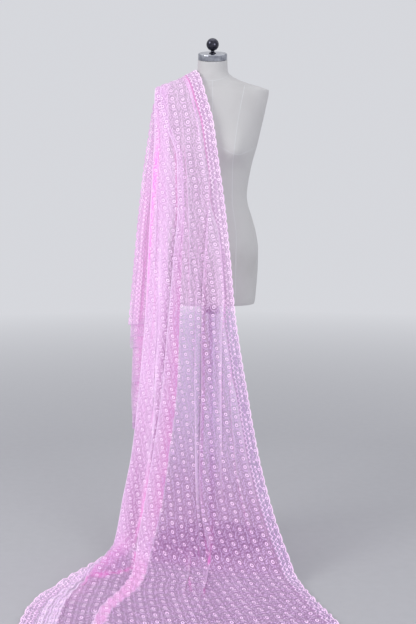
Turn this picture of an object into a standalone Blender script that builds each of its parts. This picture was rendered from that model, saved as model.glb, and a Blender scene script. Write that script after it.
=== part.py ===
"""Dupatta stole on a dress form stand.

A rectangle of sheer net hangs over one shoulder of a limbless dress form. One end hangs behind
the shoulder and the other trails on the floor in front. Metres, +Z up, origin on the floor at
the middle of the base plate. The form faces -Y and the stole hangs at its -X shoulder.
"""

import bisect
import math

import bmesh
import bpy
import numpy as np

# Cloth
WALL = 0.001
SEAM_GAP = 0.0003
BORDER_WIDTH = 0.039
SAG_SHARE = 0.66  # the cloth sags over this much of the way across, up to the hidden pleats
HIDDEN_PLEATS = (
    # layer, where its outer fold is from side to edge, how much shorter the back stretch is there
    (4, 0.2, 0.05),
    (6, 0.4, 0.28),
    (8, 1.0, 0.36),
)
SEAM_ROOM = 3 * SEAM_GAP  # on each side of the seam at the floor, where the cloth turns
SPAN_STEPS = 2
FOLD_RADIUS = 0.0006  # the tightest a fold turns
SPREAD_FROM = 0.05  # at and below this height the cloth spreads on the floor
SPREAD_TO = 0.20  # at and above this one it hangs free
PLEAT_RAMP = 0.03  # on the floor the front layer climbs onto the hidden pleats in this width
ROW_GAP = 0.07  # the longest stretch of cloth between two sections
LEAST_ROW_GAP = 0.012
SLOPE_STEP = 0.001

# Stand
BASE_RADIUS = 0.185
BASE_RIM = 0.006
BASE_CROWN = 0.020
POLE_RADIUS = 0.0125
POLE_BOTTOM = 0.0205
POLE_IN_BODY = 0.060
COLLAR_RADIUS = 0.024
COLLAR_HEIGHT = 0.034
FIT_GAP = 0.0003

# Dress form
BODY_BOTTOM = 0.814
NECK_TOP = 1.612
CAP_HEIGHT = 0.020
CAP_RADIUS = 0.0475
NECK_LEAN = math.radians(14)  # the top of the neck slopes down to the front
LEAN_START = 1.560
BALL_RADIUS = 0.0205
RING_POINTS = 44

GREY_CANVAS = (0.74, 0.73, 0.71)
DARK_CHROME = (0.22, 0.22, 0.24)
CHROME = (0.70, 0.71, 0.73)
BLACK_ENAMEL = (0.05, 0.055, 0.07)
PINK_NET = (0.86, 0.62, 0.84)
PALE_PINK = (0.93, 0.76, 0.90)

# Level sections of the body: height, half width, how far it reaches forward and back, squareness
BODY_RINGS = (
    # z, half_width, front, back, power
    (0.8140, 0.1380, 0.104, 0.108, 2.3),
    (0.8200, 0.1405, 0.106, 0.111, 2.3),
    (0.8600, 0.1450, 0.110, 0.117, 2.3),
    (0.9000, 0.1485, 0.113, 0.122, 2.3),
    (0.9500, 0.1508, 0.116, 0.126, 2.3),
    (0.9950, 0.1512, 0.116, 0.125, 2.3),
    (1.0500, 0.1435, 0.108, 0.114, 2.3),
    (1.1000, 0.1300, 0.099, 0.100, 2.3),
    (1.1400, 0.1175, 0.092, 0.090, 2.3),
    (1.1730, 0.1130, 0.090, 0.085, 2.3),
    (1.2100, 0.1170, 0.093, 0.088, 2.3),
    (1.2500, 0.1240, 0.098, 0.093, 2.3),
    (1.2850, 0.1320, 0.104, 0.097, 2.3),
    (1.3200, 0.1420, 0.107, 0.100, 2.3),
    (1.3500, 0.1500, 0.106, 0.103, 2.3),
    (1.3900, 0.1590, 0.101, 0.105, 2.3),
    (1.4300, 0.1685, 0.092, 0.105, 2.3),
    (1.4700, 0.1770, 0.080, 0.101, 2.3),
    (1.5000, 0.1830, 0.070, 0.091, 2.2),
    (1.5130, 0.1840, 0.064, 0.082, 2.1),
    (1.5190, 0.1720, 0.061, 0.077, 2.0),
    (1.5270, 0.1470, 0.058, 0.072, 2.0),
    (1.5370, 0.1130, 0.056, 0.066, 2.0),
    (1.5470, 0.0860, 0.054, 0.061, 2.0),
    (1.5580, 0.0640, 0.053, 0.057, 2.0),
    (1.5700, 0.0520, 0.051, 0.053, 2.0),
    (1.5850, 0.0490, 0.049, 0.050, 2.0),
    (1.6120, 0.0480, 0.048, 0.048, 2.0),
)
BUST_HEIGHT = 1.315
BUST_SPREAD = 0.082
BUST_WIDTH = 0.046
BUST_RISE = 0.030
BUST_ABOVE = 0.060
BUST_BELOW = 0.036

# Where the stole runs, from its back end over the shoulder to the end of the train. Each row
# gives a place on the neck side (y, z) and on the arm side (y_arm, z_arm), how far the middle
# bows out and sags, and the angle of the outward normal: 0 faces forward, 90 up, 180 backward.
PATH = (
    # name, y, z, y_arm, z_arm, bow, sag, normal
    ("back_end", 0.190, 0.335, 0.150, 0.335, 0.000, 0.000, 180),
    ("back_knee", 0.188, 0.560, 0.148, 0.560, 0.000, 0.000, 180),
    ("back_seat", 0.186, 0.800, 0.146, 0.800, 0.000, 0.000, 180),
    ("back_hip", 0.184, 0.960, 0.144, 0.960, 0.000, 0.000, 180),
    ("back_waist", 0.178, 1.120, 0.138, 1.120, 0.000, 0.000, 180),
    ("back_rib", 0.166, 1.270, 0.128, 1.260, 0.000, 0.000, 177),
    ("blade", 0.148, 1.390, 0.108, 1.370, 0.000, 0.000, 170),
    ("back_yoke", 0.118, 1.480, 0.088, 1.450, 0.000, 0.000, 156),
    ("back_brow", 0.070, 1.557, 0.061, 1.518, 0.000, 0.005, 130),
    ("ridge", 0.000, 1.578, 0.000, 1.538, 0.000, 0.010, 90),
    ("brow", -0.056, 1.557, -0.054, 1.517, 0.000, 0.005, 48),
    ("chest", -0.084, 1.500, -0.071, 1.452, 0.006, 0.000, 24),
    ("breast", -0.117, 1.410, -0.082, 1.368, 0.016, 0.000, 12),
    ("bust", -0.138, 1.315, -0.094, 1.280, 0.018, 0.000, 4),
    ("waist", -0.150, 1.160, -0.106, 1.130, 0.012, 0.000, 3),
    ("hip", -0.168, 0.980, -0.118, 0.960, 0.008, 0.000, 5),
    ("seat", -0.196, 0.800, -0.128, 0.790, 0.006, 0.000, 7),
    ("knee", -0.245, 0.560, -0.142, 0.555, 0.010, 0.000, 10),
    ("calf", -0.300, 0.340, -0.160, 0.340, 0.020, 0.000, 14),
    ("shin", -0.352, 0.180, -0.176, 0.190, 0.034, 0.000, 22),
    ("ankle", -0.398, 0.080, -0.188, 0.098, 0.050, 0.000, 38),
    ("landing", -0.442, 0.020, -0.206, 0.046, 0.062, 0.000, 66),
    ("floor_near", -0.530, 0.0068, -0.300, 0.034, 0.050, 0.000, 88),
    ("floor_mid", -0.630, 0.0050, -0.430, 0.018, 0.035, 0.000, 90),
    ("floor_far", -0.760, 0.0036, -0.640, 0.0050, 0.015, 0.000, 90),
    ("train_end", -0.930, 0.0026, -0.900, 0.0026, 0.000, 0.000, 90),
)

# The folds that run down the stole, as x at some of those places. outer is the neck-side edge,
# pleat to inset the soft ridges and troughs of the single layer, band the knife pleat's front
# edge and lap how far it is folded back, side the outer fold of the front. hide is the width
# of the pleats hidden behind that fold, and edge is the arm-side edge of the stole. pitch is
# the distance from one layer to the next, and wave the height of the soft ridges.
FOLDS = (
    # name, outer, pleat, trough, ridge, inset, band, lap, side, hide, edge, pitch, wave
    ("back_end", -0.15, -0.2, -0.212, -0.225, -0.238, -0.28, 0.07, -0.282, 0.1, -0.291, 0.0065, 0.006),
    ("back_seat", -0.128, -0.18, -0.196, -0.214, -0.236, -0.262, 0.08, -0.262, 0.112, -0.262, 0.0062, 0.006),
    ("back_waist", -0.104, -0.156, -0.172, -0.19, -0.212, -0.24, 0.07, -0.232, 0.095, -0.24, 0.0056, 0.005),
    ("blade", -0.08, -0.13, -0.144, -0.16, -0.18, -0.206, 0.046, -0.202, 0.064, -0.216, 0.0043, 0.003),
    ("ridge", -0.0545, -0.101, -0.114, -0.13, -0.148, -0.17, 0.012, -0.187, 0.044, -0.1865, 0.0018, 0.001),
    ("chest", -0.022, -0.07, -0.088, -0.11, -0.142, -0.166, 0.012, -0.187, 0.044, -0.186, 0.0026, 0.002),
    ("breast", 0.003, -0.045, -0.072, -0.102, -0.138, -0.16, 0.014, -0.187, 0.046, -0.184, 0.0027, 0.003),
    ("bust", 0.016, -0.032, -0.06, -0.092, -0.13, -0.15, 0.018, -0.193, 0.048, -0.189, 0.0031, 0.003),
    ("waist", 0.038, -0.01, -0.04, -0.074, -0.114, -0.138, 0.026, -0.201, 0.056, -0.196, 0.004, 0.006),
    ("hip", 0.057, 0.008, -0.022, -0.062, -0.104, -0.134, 0.036, -0.21, 0.064, -0.204, 0.005, 0.009),
    ("seat", 0.073, 0.024, -0.014, -0.06, -0.102, -0.146, 0.04, -0.219, 0.07, -0.213, 0.0055, 0.012),
    ("knee", 0.11, 0.034, -0.024, -0.06, -0.108, -0.178, 0.056, -0.24, 0.074, -0.234, 0.006, 0.015),
    ("calf", 0.151, 0.044, -0.028, -0.056, -0.122, -0.199, 0.058, -0.265, 0.076, -0.259, 0.006, 0.015),
    ("shin", 0.195, 0.062, -0.026, -0.05, -0.14, -0.22, 0.056, -0.295, 0.078, -0.289, 0.0058, 0.014),
    ("landing", 0.258, 0.078, -0.02, -0.05, -0.16, -0.246, 0.044, -0.325, 0.054, -0.331, 0.0048, 0.012),
    ("floor_near", 0.284, 0.09, -0.024, -0.058, -0.18, -0.248, 0.036, -0.348, 0.036, -0.382, 0.0036, 0.009),
    ("floor_mid", 0.312, 0.104, -0.03, -0.07, -0.2, -0.264, 0.024, -0.388, 0.004, -0.457, 0.0016, 0.007),
    ("floor_far", 0.35, 0.13, -0.03, -0.08, -0.215, -0.312, -0.006, -0.436, -0.008, -0.536, 0.0003, 0.006),
    ("train_end", 0.385, 0.15, -0.02, -0.09, -0.225, -0.32, -0.006, -0.44, -0.008, -0.545, 0.0002, 0.002),
)

SEAM_SHOULDER = "ridge"
SEAM_FLOOR = "ankle"


def slopes_without_overshoot(xs, ys):
    """Slopes for a cubic through the points that never swings past them."""
    gaps = np.diff(xs)
    rises = np.diff(ys, axis=0) / gaps[:, None]
    slopes = np.zeros_like(ys)
    slopes[0] = rises[0]
    slopes[-1] = rises[-1]
    same_way = rises[:-1] * rises[1:] > 0
    before = (2 * gaps[1:] + gaps[:-1])[:, None]
    after = (gaps[1:] + 2 * gaps[:-1])[:, None]
    safe_a = np.where(same_way, rises[:-1], 1.0)
    safe_b = np.where(same_way, rises[1:], 1.0)
    slopes[1:-1] = np.where(same_way, (before + after) / (before / safe_a + after / safe_b), 0.0)
    return slopes


def smooth_table(xs, rows):
    """A function of x that runs smoothly through the rows."""
    xs = np.array(xs, float)
    ys = np.array(rows, float)
    slopes = slopes_without_overshoot(xs, ys)

    def at(x):
        i = min(max(bisect.bisect_right(xs, x) - 1, 0), len(xs) - 2)
        width = xs[i + 1] - xs[i]
        t = min(max((x - xs[i]) / width, 0.0), 1.0)
        start = ys[i] * (1 + 2 * t) * (1 - t) ** 2 + slopes[i] * width * t * (1 - t) ** 2
        end = ys[i + 1] * t * t * (3 - 2 * t) + slopes[i + 1] * width * t * t * (t - 1)
        return start + end

    return at


def lengths_along(rows):
    """The distance of each PATH row from the shoulder ridge, along the neck side."""
    places = np.array([(row[1], row[2]) for row in rows])
    steps = np.hypot(*np.diff(places, axis=0).T)
    along = np.concatenate([[0.0], np.cumsum(steps)])
    ridge = [row[0] for row in rows].index("ridge")
    return along - along[ridge]


LENGTHS = dict(zip([row[0] for row in PATH], lengths_along(PATH)))
path_at = smooth_table([LENGTHS[row[0]] for row in PATH], [row[1:] for row in PATH])
folds_at = smooth_table([LENGTHS[row[0]] for row in FOLDS], [row[1:] for row in FOLDS])


def lying(s):
    """0 where the stole hangs, 1 where it lies on the floor."""
    t = (s - LENGTHS["ankle"]) / (LENGTHS["landing"] - LENGTHS["ankle"])
    t = min(max(t, 0.0), 1.0)
    return t * t * (3 - 2 * t)


def turn(x, layer, pitch, next_x, lift):
    """Three points round a fold: the path comes in on one layer and leaves on the next one down."""
    radius = max(pitch / 2, FOLD_RADIUS)
    into = -1.0 if layer % 2 == 0 else 1.0
    out = min(max((next_x - x) / (3 * radius), -1.0), 1.0)
    return [
        (x - into * radius, lift - layer * pitch, layer, 1),
        (x, lift - (layer + 0.5) * pitch, layer + 0.5, 1),
        (x + out * radius, lift - (layer + 1) * pitch, layer + 1, 1),
    ]


def section_folds(s):
    """The control points of the section at length s.

    Each has its x, its height off the front layer, its layer number and the number of steps
    to the next one.
    """
    outer, pleat, trough, ridge, inset, band, lap, side, hide, edge, pitch, wave = folds_at(s)
    inner = outer - BORDER_WIDTH
    lift = 2 * pitch * lying(s)
    points = [(outer, 0.0, 0, 2), (inner, 0.0, 0, SPAN_STEPS)]
    points += [(pleat, wave * 0.8, 0, SPAN_STEPS), (trough, 0.0, 0, SPAN_STEPS)]
    points += [(ridge, wave, 0, SPAN_STEPS), (inset, 0.2 * wave, 0, SPAN_STEPS)]
    points += turn(band, 0, pitch, band + lap, lift)
    points += turn(band + lap, 1, pitch, side, lift)
    points.append((0.35 * (band + lap) + 0.65 * side, lift - 2 * pitch + 0.3 * wave, 2, SPAN_STEPS))
    reach = side
    layer = 2
    for _, share, _ in HIDDEN_PLEATS:
        points += turn(reach, layer, pitch, reach + hide, lift)
        following = side + (edge - side) * share
        points += turn(reach + hide, layer + 1, pitch, following, lift)
        reach = following
        layer += 2
    points.append((edge + BORDER_WIDTH, lift - layer * pitch, layer, 2))
    points.append((edge, lift - layer * pitch, layer, 0))
    return points


def rounded(points):
    """A centripetal Catmull-Rom curve through the control points."""
    knots = np.array(points, float)
    first = 2 * knots[0] - knots[1]
    last = 2 * knots[-1] - knots[-2]
    padded = np.vstack([first, knots, last])[:, :3]
    curve = []
    for i in range(len(knots) - 1):
        a, b, c, d = padded[i : i + 4]
        ta = 0.0
        tb = ta + math.sqrt(max(np.linalg.norm((b - a)[:2]), 1e-6))
        tc = tb + math.sqrt(max(np.linalg.norm((c - b)[:2]), 1e-6))
        td = tc + math.sqrt(max(np.linalg.norm((d - c)[:2]), 1e-6))
        for t in np.linspace(tb, tc, int(knots[i][3]), endpoint=False):
            ab = a * (tb - t) / (tb - ta) + b * (t - ta) / (tb - ta)
            bc = b * (tc - t) / (tc - tb) + c * (t - tb) / (tc - tb)
            cd = c * (td - t) / (td - tc) + d * (t - tc) / (td - tc)
            abc = ab * (tc - t) / (tc - ta) + bc * (t - ta) / (tc - ta)
            bcd = bc * (td - t) / (td - tb) + cd * (t - tb) / (td - tb)
            curve.append(abc * (tc - t) / (tc - tb) + bcd * (t - tb) / (tc - tb))
    curve.append(knots[-1][:3])
    return np.array(curve)


def shortened(s, layer):
    """Below the shoulder blade the arm side is shorter, so the back end hangs in steps."""
    past = s - LENGTHS["blade"]
    layers = [2] + [row[0] for row in HIDDEN_PLEATS]
    cuts = [0.0] + [row[2] for row in HIDDEN_PLEATS]
    return LENGTHS["blade"] + past * (1 - np.interp(layer, layers, cuts)) if past < 0 else s


def stole_point(s, x, height, layer, outer, side, hide):
    y, z, y_arm, z_arm, bow, sag, normal = path_at(shortened(s, layer))
    q = min(max((outer - x) / (outer - side), 0.0), 1.0)
    hanging = min(max((z_arm - SPREAD_FROM) / (SPREAD_TO - SPREAD_FROM), 0.0), 1.0)
    over_pleats = min(max(1 + (side + max(hide, 0.0) - x) / PLEAT_RAMP, 0.0), 1.0)
    over_pleats = over_pleats * over_pleats * (3 - 2 * over_pleats)
    rise = hanging * q + (1 - hanging) * (1.0 if layer > 2 else over_pleats)
    angle = math.radians(normal)
    depth = y + (y_arm - y) * q - bow * math.sin(math.pi * q)
    level = z + (z_arm - z) * rise - sag * math.sin(math.pi * min(q / SAG_SHARE, 1.0)) ** 2
    return x, depth - height * math.cos(angle), level + height * math.sin(angle)


def section(s):
    """The points of the whole section at length s, from the neck side to the arm side."""
    controls = section_folds(s)
    outer = controls[0][0]
    side, hide = folds_at(s)[7:9]
    return np.array([stole_point(s, *row, outer, side, hide) for row in rounded(controls)])


def section_with_normals(s):
    """The section and, at each point, the direction that faces out of the cloth."""
    points = section(s)
    across = np.gradient(points, axis=0)
    along = section(s + SLOPE_STEP) - section(s - SLOPE_STEP)
    normals = np.cross(across, along)
    return points, normals / np.linalg.norm(normals, axis=1)[:, None]


def strips_at(s):
    """The section as three strips: neck-side border, net field and arm-side border.

    Each strip is a pair of its outer and inner faces' points, with the seam gap at its start.
    """
    points, normals = section_with_normals(s)
    last = len(points) - 1
    strips = []
    for start, end in ((0, 2), (2, last - 2), (last - 2, last)):
        middle = points[start : end + 1].copy()
        if start:
            step = middle[1] - middle[0]
            middle[0] += step * SEAM_GAP / np.linalg.norm(step)
        half_wall = normals[start : end + 1] * WALL / 2
        strips.append((middle + half_wall, middle - half_wall))
    return strips


def rows_between(start, end, places):
    """Lengths from start to end, at the PATH rows in between and half way between far ones."""
    inside = [v for v in places if start + LEAST_ROW_GAP < v < end - LEAST_ROW_GAP]
    rows = [start, *inside, end]
    halves = [(a + b) / 2 for a, b in zip(rows, rows[1:]) if b - a > ROW_GAP]
    return sorted(rows + halves)


def grid_faces(lines, first, flip):
    """Quads of a grid of points, listed row by row from index first.

    A quad is split along the diagonal from its first corner. Pleats lie on one another and run
    opposite ways, so where the line of points runs towards the arm side the quad starts at its
    next corner. Walls on one another are then split along the same diagonals.
    """
    columns = len(lines[0])
    faces = []
    for r in range(len(lines) - 1):
        for c in range(columns - 1):
            corner = first + r * columns + c
            quad = [corner, corner + 1, corner + columns + 1, corner + columns]
            if lines[r][c + 1][0] < lines[r][c][0]:
                quad = quad[1:] + quad[:1]
            faces.append([quad[0], *quad[:0:-1]] if flip else quad)
    return faces


def rim_faces(rows, columns):
    """The narrow faces that close the wall all round, from the outer grid to the inner one."""
    down = rows * columns
    rim = list(range(columns))
    rim += [r * columns + columns - 1 for r in range(1, rows)]
    rim += [(rows - 1) * columns + c for c in range(columns - 2, -1, -1)]
    rim += [r * columns for r in range(rows - 2, 0, -1)]
    return [(b, a, a + down, b + down) for a, b in zip(rim, rim[1:] + rim[:1])]


def cloth_piece(name, strips, colour, collection):
    """A wall of even thickness through the strips, each an outer and an inner line of points."""
    rows = len(strips)
    columns = len(strips[0][0])
    points = [tuple(p) for outer, _ in strips for p in outer]
    points += [tuple(p) for _, inner in strips for p in inner]
    outer_lines = [outer for outer, _ in strips]
    faces = grid_faces(outer_lines, 0, False)
    faces += grid_faces(outer_lines, rows * columns, True)
    faces += rim_faces(rows, columns)
    mesh = bpy.data.meshes.new(name)
    mesh.from_pydata(points, [], faces)
    mesh.update()
    mesh.shade_smooth()
    mesh.set_sharp_from_angle(angle=math.radians(70))
    piece = bpy.data.objects.new(name, mesh)
    collection.objects.link(piece)
    piece.data.materials.append(material(name, colour, 0.75, 0.0))
    return piece


def material(name, colour, roughness, metallic):
    made = bpy.data.materials.new(name)
    made.use_nodes = True
    shader = made.node_tree.nodes["Principled BSDF"]
    shader.inputs["Base Color"].default_value = (*colour, 1)
    shader.inputs["Roughness"].default_value = roughness
    shader.inputs["Metallic"].default_value = metallic
    return made


def make_stole(collection):
    shoulder = LENGTHS[SEAM_SHOULDER]
    ankle = LENGTHS[SEAM_FLOOR]
    step = 2 * SLOPE_STEP
    stretches = (
        # name, start, end
        ("back", LENGTHS["back_end"] + step, shoulder - SEAM_GAP),
        ("front", shoulder + SEAM_GAP, ankle - SEAM_ROOM),
        ("train", ankle + SEAM_ROOM, LENGTHS["train_end"] - step),
    )
    for name, start, end in stretches:
        sections = [strips_at(s) for s in rows_between(start, end, sorted(LENGTHS.values()))]
        cloth_piece("stole_" + name, [row[1] for row in sections], PINK_NET, collection)
        cloth_piece("border_right_" + name, [row[0] for row in sections], PALE_PINK, collection)
        cloth_piece("border_left_" + name, [row[2] for row in sections], PALE_PINK, collection)


def bust_reach(x, z):
    """How far the two soft mounds of the bust add to the front at x, z."""
    spread = (abs(x) - BUST_SPREAD) / BUST_WIDTH
    level = z - BUST_HEIGHT
    fall = level / (BUST_ABOVE if level > 0 else BUST_BELOW)
    return BUST_RISE * math.exp(-spread * spread - fall * fall)


def body_ring(z, half_width, front, back, power):
    ring = []
    lean = max(z - LEAN_START, 0.0) / (NECK_TOP - LEAN_START) * math.tan(NECK_LEAN)
    for k in range(RING_POINTS):
        angle = 2 * math.pi * k / RING_POINTS
        c = math.cos(angle)
        s = math.sin(angle)
        x = half_width * math.copysign(abs(c) ** (2 / power), c)
        reach = back if s > 0 else front
        y = reach * math.copysign(abs(s) ** (2 / power), s)
        if s < 0:
            y -= bust_reach(x, z) * min(-s * 1.6, 1.0)
        ring.append((x, y, z + lean * y))
    return ring


def make_body(collection):
    mesh = bpy.data.meshes.new("form_torso")
    shape = bmesh.new()
    rings = []
    for row in BODY_RINGS:
        rings.append([shape.verts.new(p) for p in body_ring(*row)])
    for low, high in zip(rings, rings[1:]):
        for k in range(RING_POINTS):
            n = (k + 1) % RING_POINTS
            shape.faces.new((low[k], low[n], high[n], high[k]))
    shape.faces.new(reversed(rings[0]))
    shape.faces.new(rings[-1])
    shape.to_mesh(mesh)
    shape.free()
    mesh.shade_smooth()
    mesh.set_sharp_from_angle(angle=math.radians(50))
    body = bpy.data.objects.new("form_torso", mesh)
    collection.objects.link(body)
    body.data.materials.append(material("form_torso", GREY_CANVAS, 0.85, 0.0))
    return body


def turned(name, profile, colour, roughness, metallic, collection, steps=40):
    """A closed profile (radius, z), listed from the top down its outer side, turned about Z."""
    mesh = bpy.data.meshes.new(name)
    mesh.from_pydata([(r, 0, z) for r, z in profile], [(i, i + 1) for i in range(len(profile) - 1)], [])
    piece = bpy.data.objects.new(name, mesh)
    collection.objects.link(piece)
    screw = piece.modifiers.new("turn", "SCREW")
    screw.steps = steps
    screw.render_steps = steps
    screw.use_merge_vertices = True
    screw.merge_threshold = 0.0001
    screw.use_smooth_shade = True
    piece.data.materials.append(material(name, colour, roughness, metallic))
    return piece


def arc(radius, centre, start, end, steps):
    """Points on a circle round (0, centre), by angle from straight up."""
    angles = [math.radians(start + (end - start) * k / steps) for k in range(steps + 1)]
    return [(radius * math.sin(a), centre + radius * math.cos(a)) for a in angles]


def seat_on_neck(piece, height):
    """Stands a turned piece on the sloping top of the neck, this high above it."""
    piece.rotation_euler = (NECK_LEAN, 0, 0)
    piece.location = (0, -height * math.sin(NECK_LEAN), NECK_TOP + height * math.cos(NECK_LEAN))


def make_neck_cap(collection):
    """A shallow drum on the neck."""
    profile = (
        (0, CAP_HEIGHT),
        (CAP_RADIUS - 0.003, CAP_HEIGHT),
        (CAP_RADIUS - 0.001, CAP_HEIGHT - 0.001),
        (CAP_RADIUS, CAP_HEIGHT - 0.003),
        (CAP_RADIUS, 0.0012),
        (CAP_RADIUS - 0.0012, 0),
        (0, 0),
    )
    cap = turned("form_neck_cap", profile, CHROME, 0.16, 1.0, collection, steps=40)
    seat_on_neck(cap, FIT_GAP)
    return cap


def make_finial(collection):
    stem_radius = 0.006
    stem_height = 0.008
    centre = stem_height + BALL_RADIUS * 0.97
    start = math.degrees(math.acos(-math.sqrt(1 - (stem_radius / BALL_RADIUS) ** 2)))
    profile = [
        *arc(BALL_RADIUS, centre, 0, start, 11),
        (stem_radius, stem_height * 0.5),
        (stem_radius * 1.9, 0.0015),
        (stem_radius * 1.9, 0),
        (0, 0),
    ]
    profile[0] = (0, centre + BALL_RADIUS)
    finial = turned("form_finial", profile, DARK_CHROME, 0.08, 1.0, collection, steps=28)
    seat_on_neck(finial, CAP_HEIGHT + 2 * FIT_GAP)
    return finial


def make_pole(collection):
    top = BODY_BOTTOM + POLE_IN_BODY
    profile = (
        (0, top),
        (POLE_RADIUS - 0.001, top),
        (POLE_RADIUS, top - 0.001),
        (POLE_RADIUS, POLE_BOTTOM + 0.001),
        (POLE_RADIUS - 0.001, POLE_BOTTOM),
        (0, POLE_BOTTOM),
    )
    return turned("stand_pole", profile, BLACK_ENAMEL, 0.3, 0.6, collection)


def make_collar(collection):
    """The clamp ring under the body, a plain turned ring round the pole."""
    top = BODY_BOTTOM - FIT_GAP
    bottom = top - COLLAR_HEIGHT
    bore = POLE_RADIUS + FIT_GAP
    profile = (
        (bore, top),
        (COLLAR_RADIUS * 1.5, top),
        (COLLAR_RADIUS * 1.5, top - 0.004),
        (COLLAR_RADIUS, top - 0.006),
        (COLLAR_RADIUS, bottom + 0.002),
        (COLLAR_RADIUS - 0.002, bottom),
        (bore, bottom),
        (bore, top),
    )
    return turned("stand_collar", profile, BLACK_ENAMEL, 0.35, 0.5, collection)


def make_knob(collection):
    """A round clamp knob with a short neck, on the front of the collar."""
    profile = (
        (0, 0.026),
        (0.008, 0.026),
        (0.010, 0.024),
        (0.010, 0.012),
        (0.008, 0.010),
        (0.004, 0.009),
        (0.004, 0),
        (0, 0),
    )
    knob = turned("stand_knob", profile, BLACK_ENAMEL, 0.35, 0.3, collection, steps=24)
    knob.rotation_euler = (math.radians(90), 0, 0)
    knob.location = (0, -(COLLAR_RADIUS + FIT_GAP), BODY_BOTTOM - 0.020)
    return knob


def make_base(collection):
    """A round plate, a little higher at its middle."""
    profile = (
        (0, BASE_CROWN),
        (0.030, BASE_CROWN),
        (0.036, BASE_CROWN - 0.004),
        (BASE_RADIUS * 0.6, BASE_RIM + 0.004),
        (BASE_RADIUS - 0.004, BASE_RIM),
        (BASE_RADIUS - 0.001, BASE_RIM - 0.0015),
        (BASE_RADIUS, BASE_RIM - 0.004),
        (BASE_RADIUS - 0.001, 0),
        (0, 0),
    )
    return turned("stand_base", profile, BLACK_ENAMEL, 0.35, 0.5, collection, steps=56)


def bore_body(body, cutters):
    """The blind hole in the body that takes the top of the pole."""
    depth = POLE_IN_BODY + 2 * FIT_GAP
    bpy.ops.mesh.primitive_cylinder_add(vertices=40, radius=POLE_RADIUS + FIT_GAP, depth=depth + 0.02)
    cutter = bpy.context.object
    cutter.name = "cutter_pole_hole"
    cutter.location = (0, 0, BODY_BOTTOM - 0.02 + (depth + 0.02) / 2)
    for home in list(cutter.users_collection):
        home.objects.unlink(cutter)
    cutters.objects.link(cutter)
    cutter.hide_render = True
    cutter.display_type = "WIRE"
    hole = body.modifiers.new("pole_hole", "BOOLEAN")
    hole.operation = "DIFFERENCE"
    hole.solver = "EXACT"
    hole.object = cutter


def clear_scene():
    for old in list(bpy.data.objects):
        bpy.data.objects.remove(old, do_unlink=True)


def new_collection(name):
    made = bpy.data.collections.new(name)
    bpy.context.scene.collection.children.link(made)
    return made


def main():
    clear_scene()
    parts = new_collection("dupatta_stole_on_dress_form_stand")
    cutters = new_collection("cutters")
    make_stole(parts)
    body = make_body(parts)
    bore_body(body, cutters)
    make_neck_cap(parts)
    make_finial(parts)
    make_pole(parts)
    make_collar(parts)
    make_knob(parts)
    make_base(parts)


main()
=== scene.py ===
"""The finish of a dupatta stole on a dress form stand.

The stole is one length of sheer net with ring-flower embroidery and a scalloped border on both
long sides. It hangs over one shoulder of a canvas dress form and trails on the floor in front.

Measures are in metres unless a table says otherwise. A place on the stole is its length s along
the cloth from the shoulder ridge (below zero behind it), its x and its layer. The layer is 0 on
top and counts one more at each fold on the way from the neck side to the arm side.
"""

import math

import bmesh
import bpy
import numpy as np
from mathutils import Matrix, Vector


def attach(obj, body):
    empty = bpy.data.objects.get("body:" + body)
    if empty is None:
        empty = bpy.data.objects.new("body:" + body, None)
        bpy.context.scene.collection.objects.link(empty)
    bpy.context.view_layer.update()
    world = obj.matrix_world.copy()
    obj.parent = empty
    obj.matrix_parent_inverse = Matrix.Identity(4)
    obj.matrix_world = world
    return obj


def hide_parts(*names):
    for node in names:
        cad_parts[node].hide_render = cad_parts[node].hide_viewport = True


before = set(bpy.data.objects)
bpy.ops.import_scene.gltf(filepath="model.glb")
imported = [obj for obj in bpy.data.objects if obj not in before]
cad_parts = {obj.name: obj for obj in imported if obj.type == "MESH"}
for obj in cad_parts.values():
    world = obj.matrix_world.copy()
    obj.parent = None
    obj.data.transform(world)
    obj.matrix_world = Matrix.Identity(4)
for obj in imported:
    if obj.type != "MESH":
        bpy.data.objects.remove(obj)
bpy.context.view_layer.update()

rng = np.random.default_rng(7)

# ---------------------------------------------------------------- how the stole lies

BORDER_WIDTH = 0.039
FOLD_RADIUS = 0.0006  # of the tightest fold
STACK = 0.82  # the thin pleats lie this much closer than the solid ones
SPREAD_FROM = 0.05  # between these heights the arm side changes from lying to hanging
SPREAD_TO = 0.20
PLEAT_RAMP = 0.03
BORDER_STEPS = 6
LEAST_GAP = 1e-6

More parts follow.
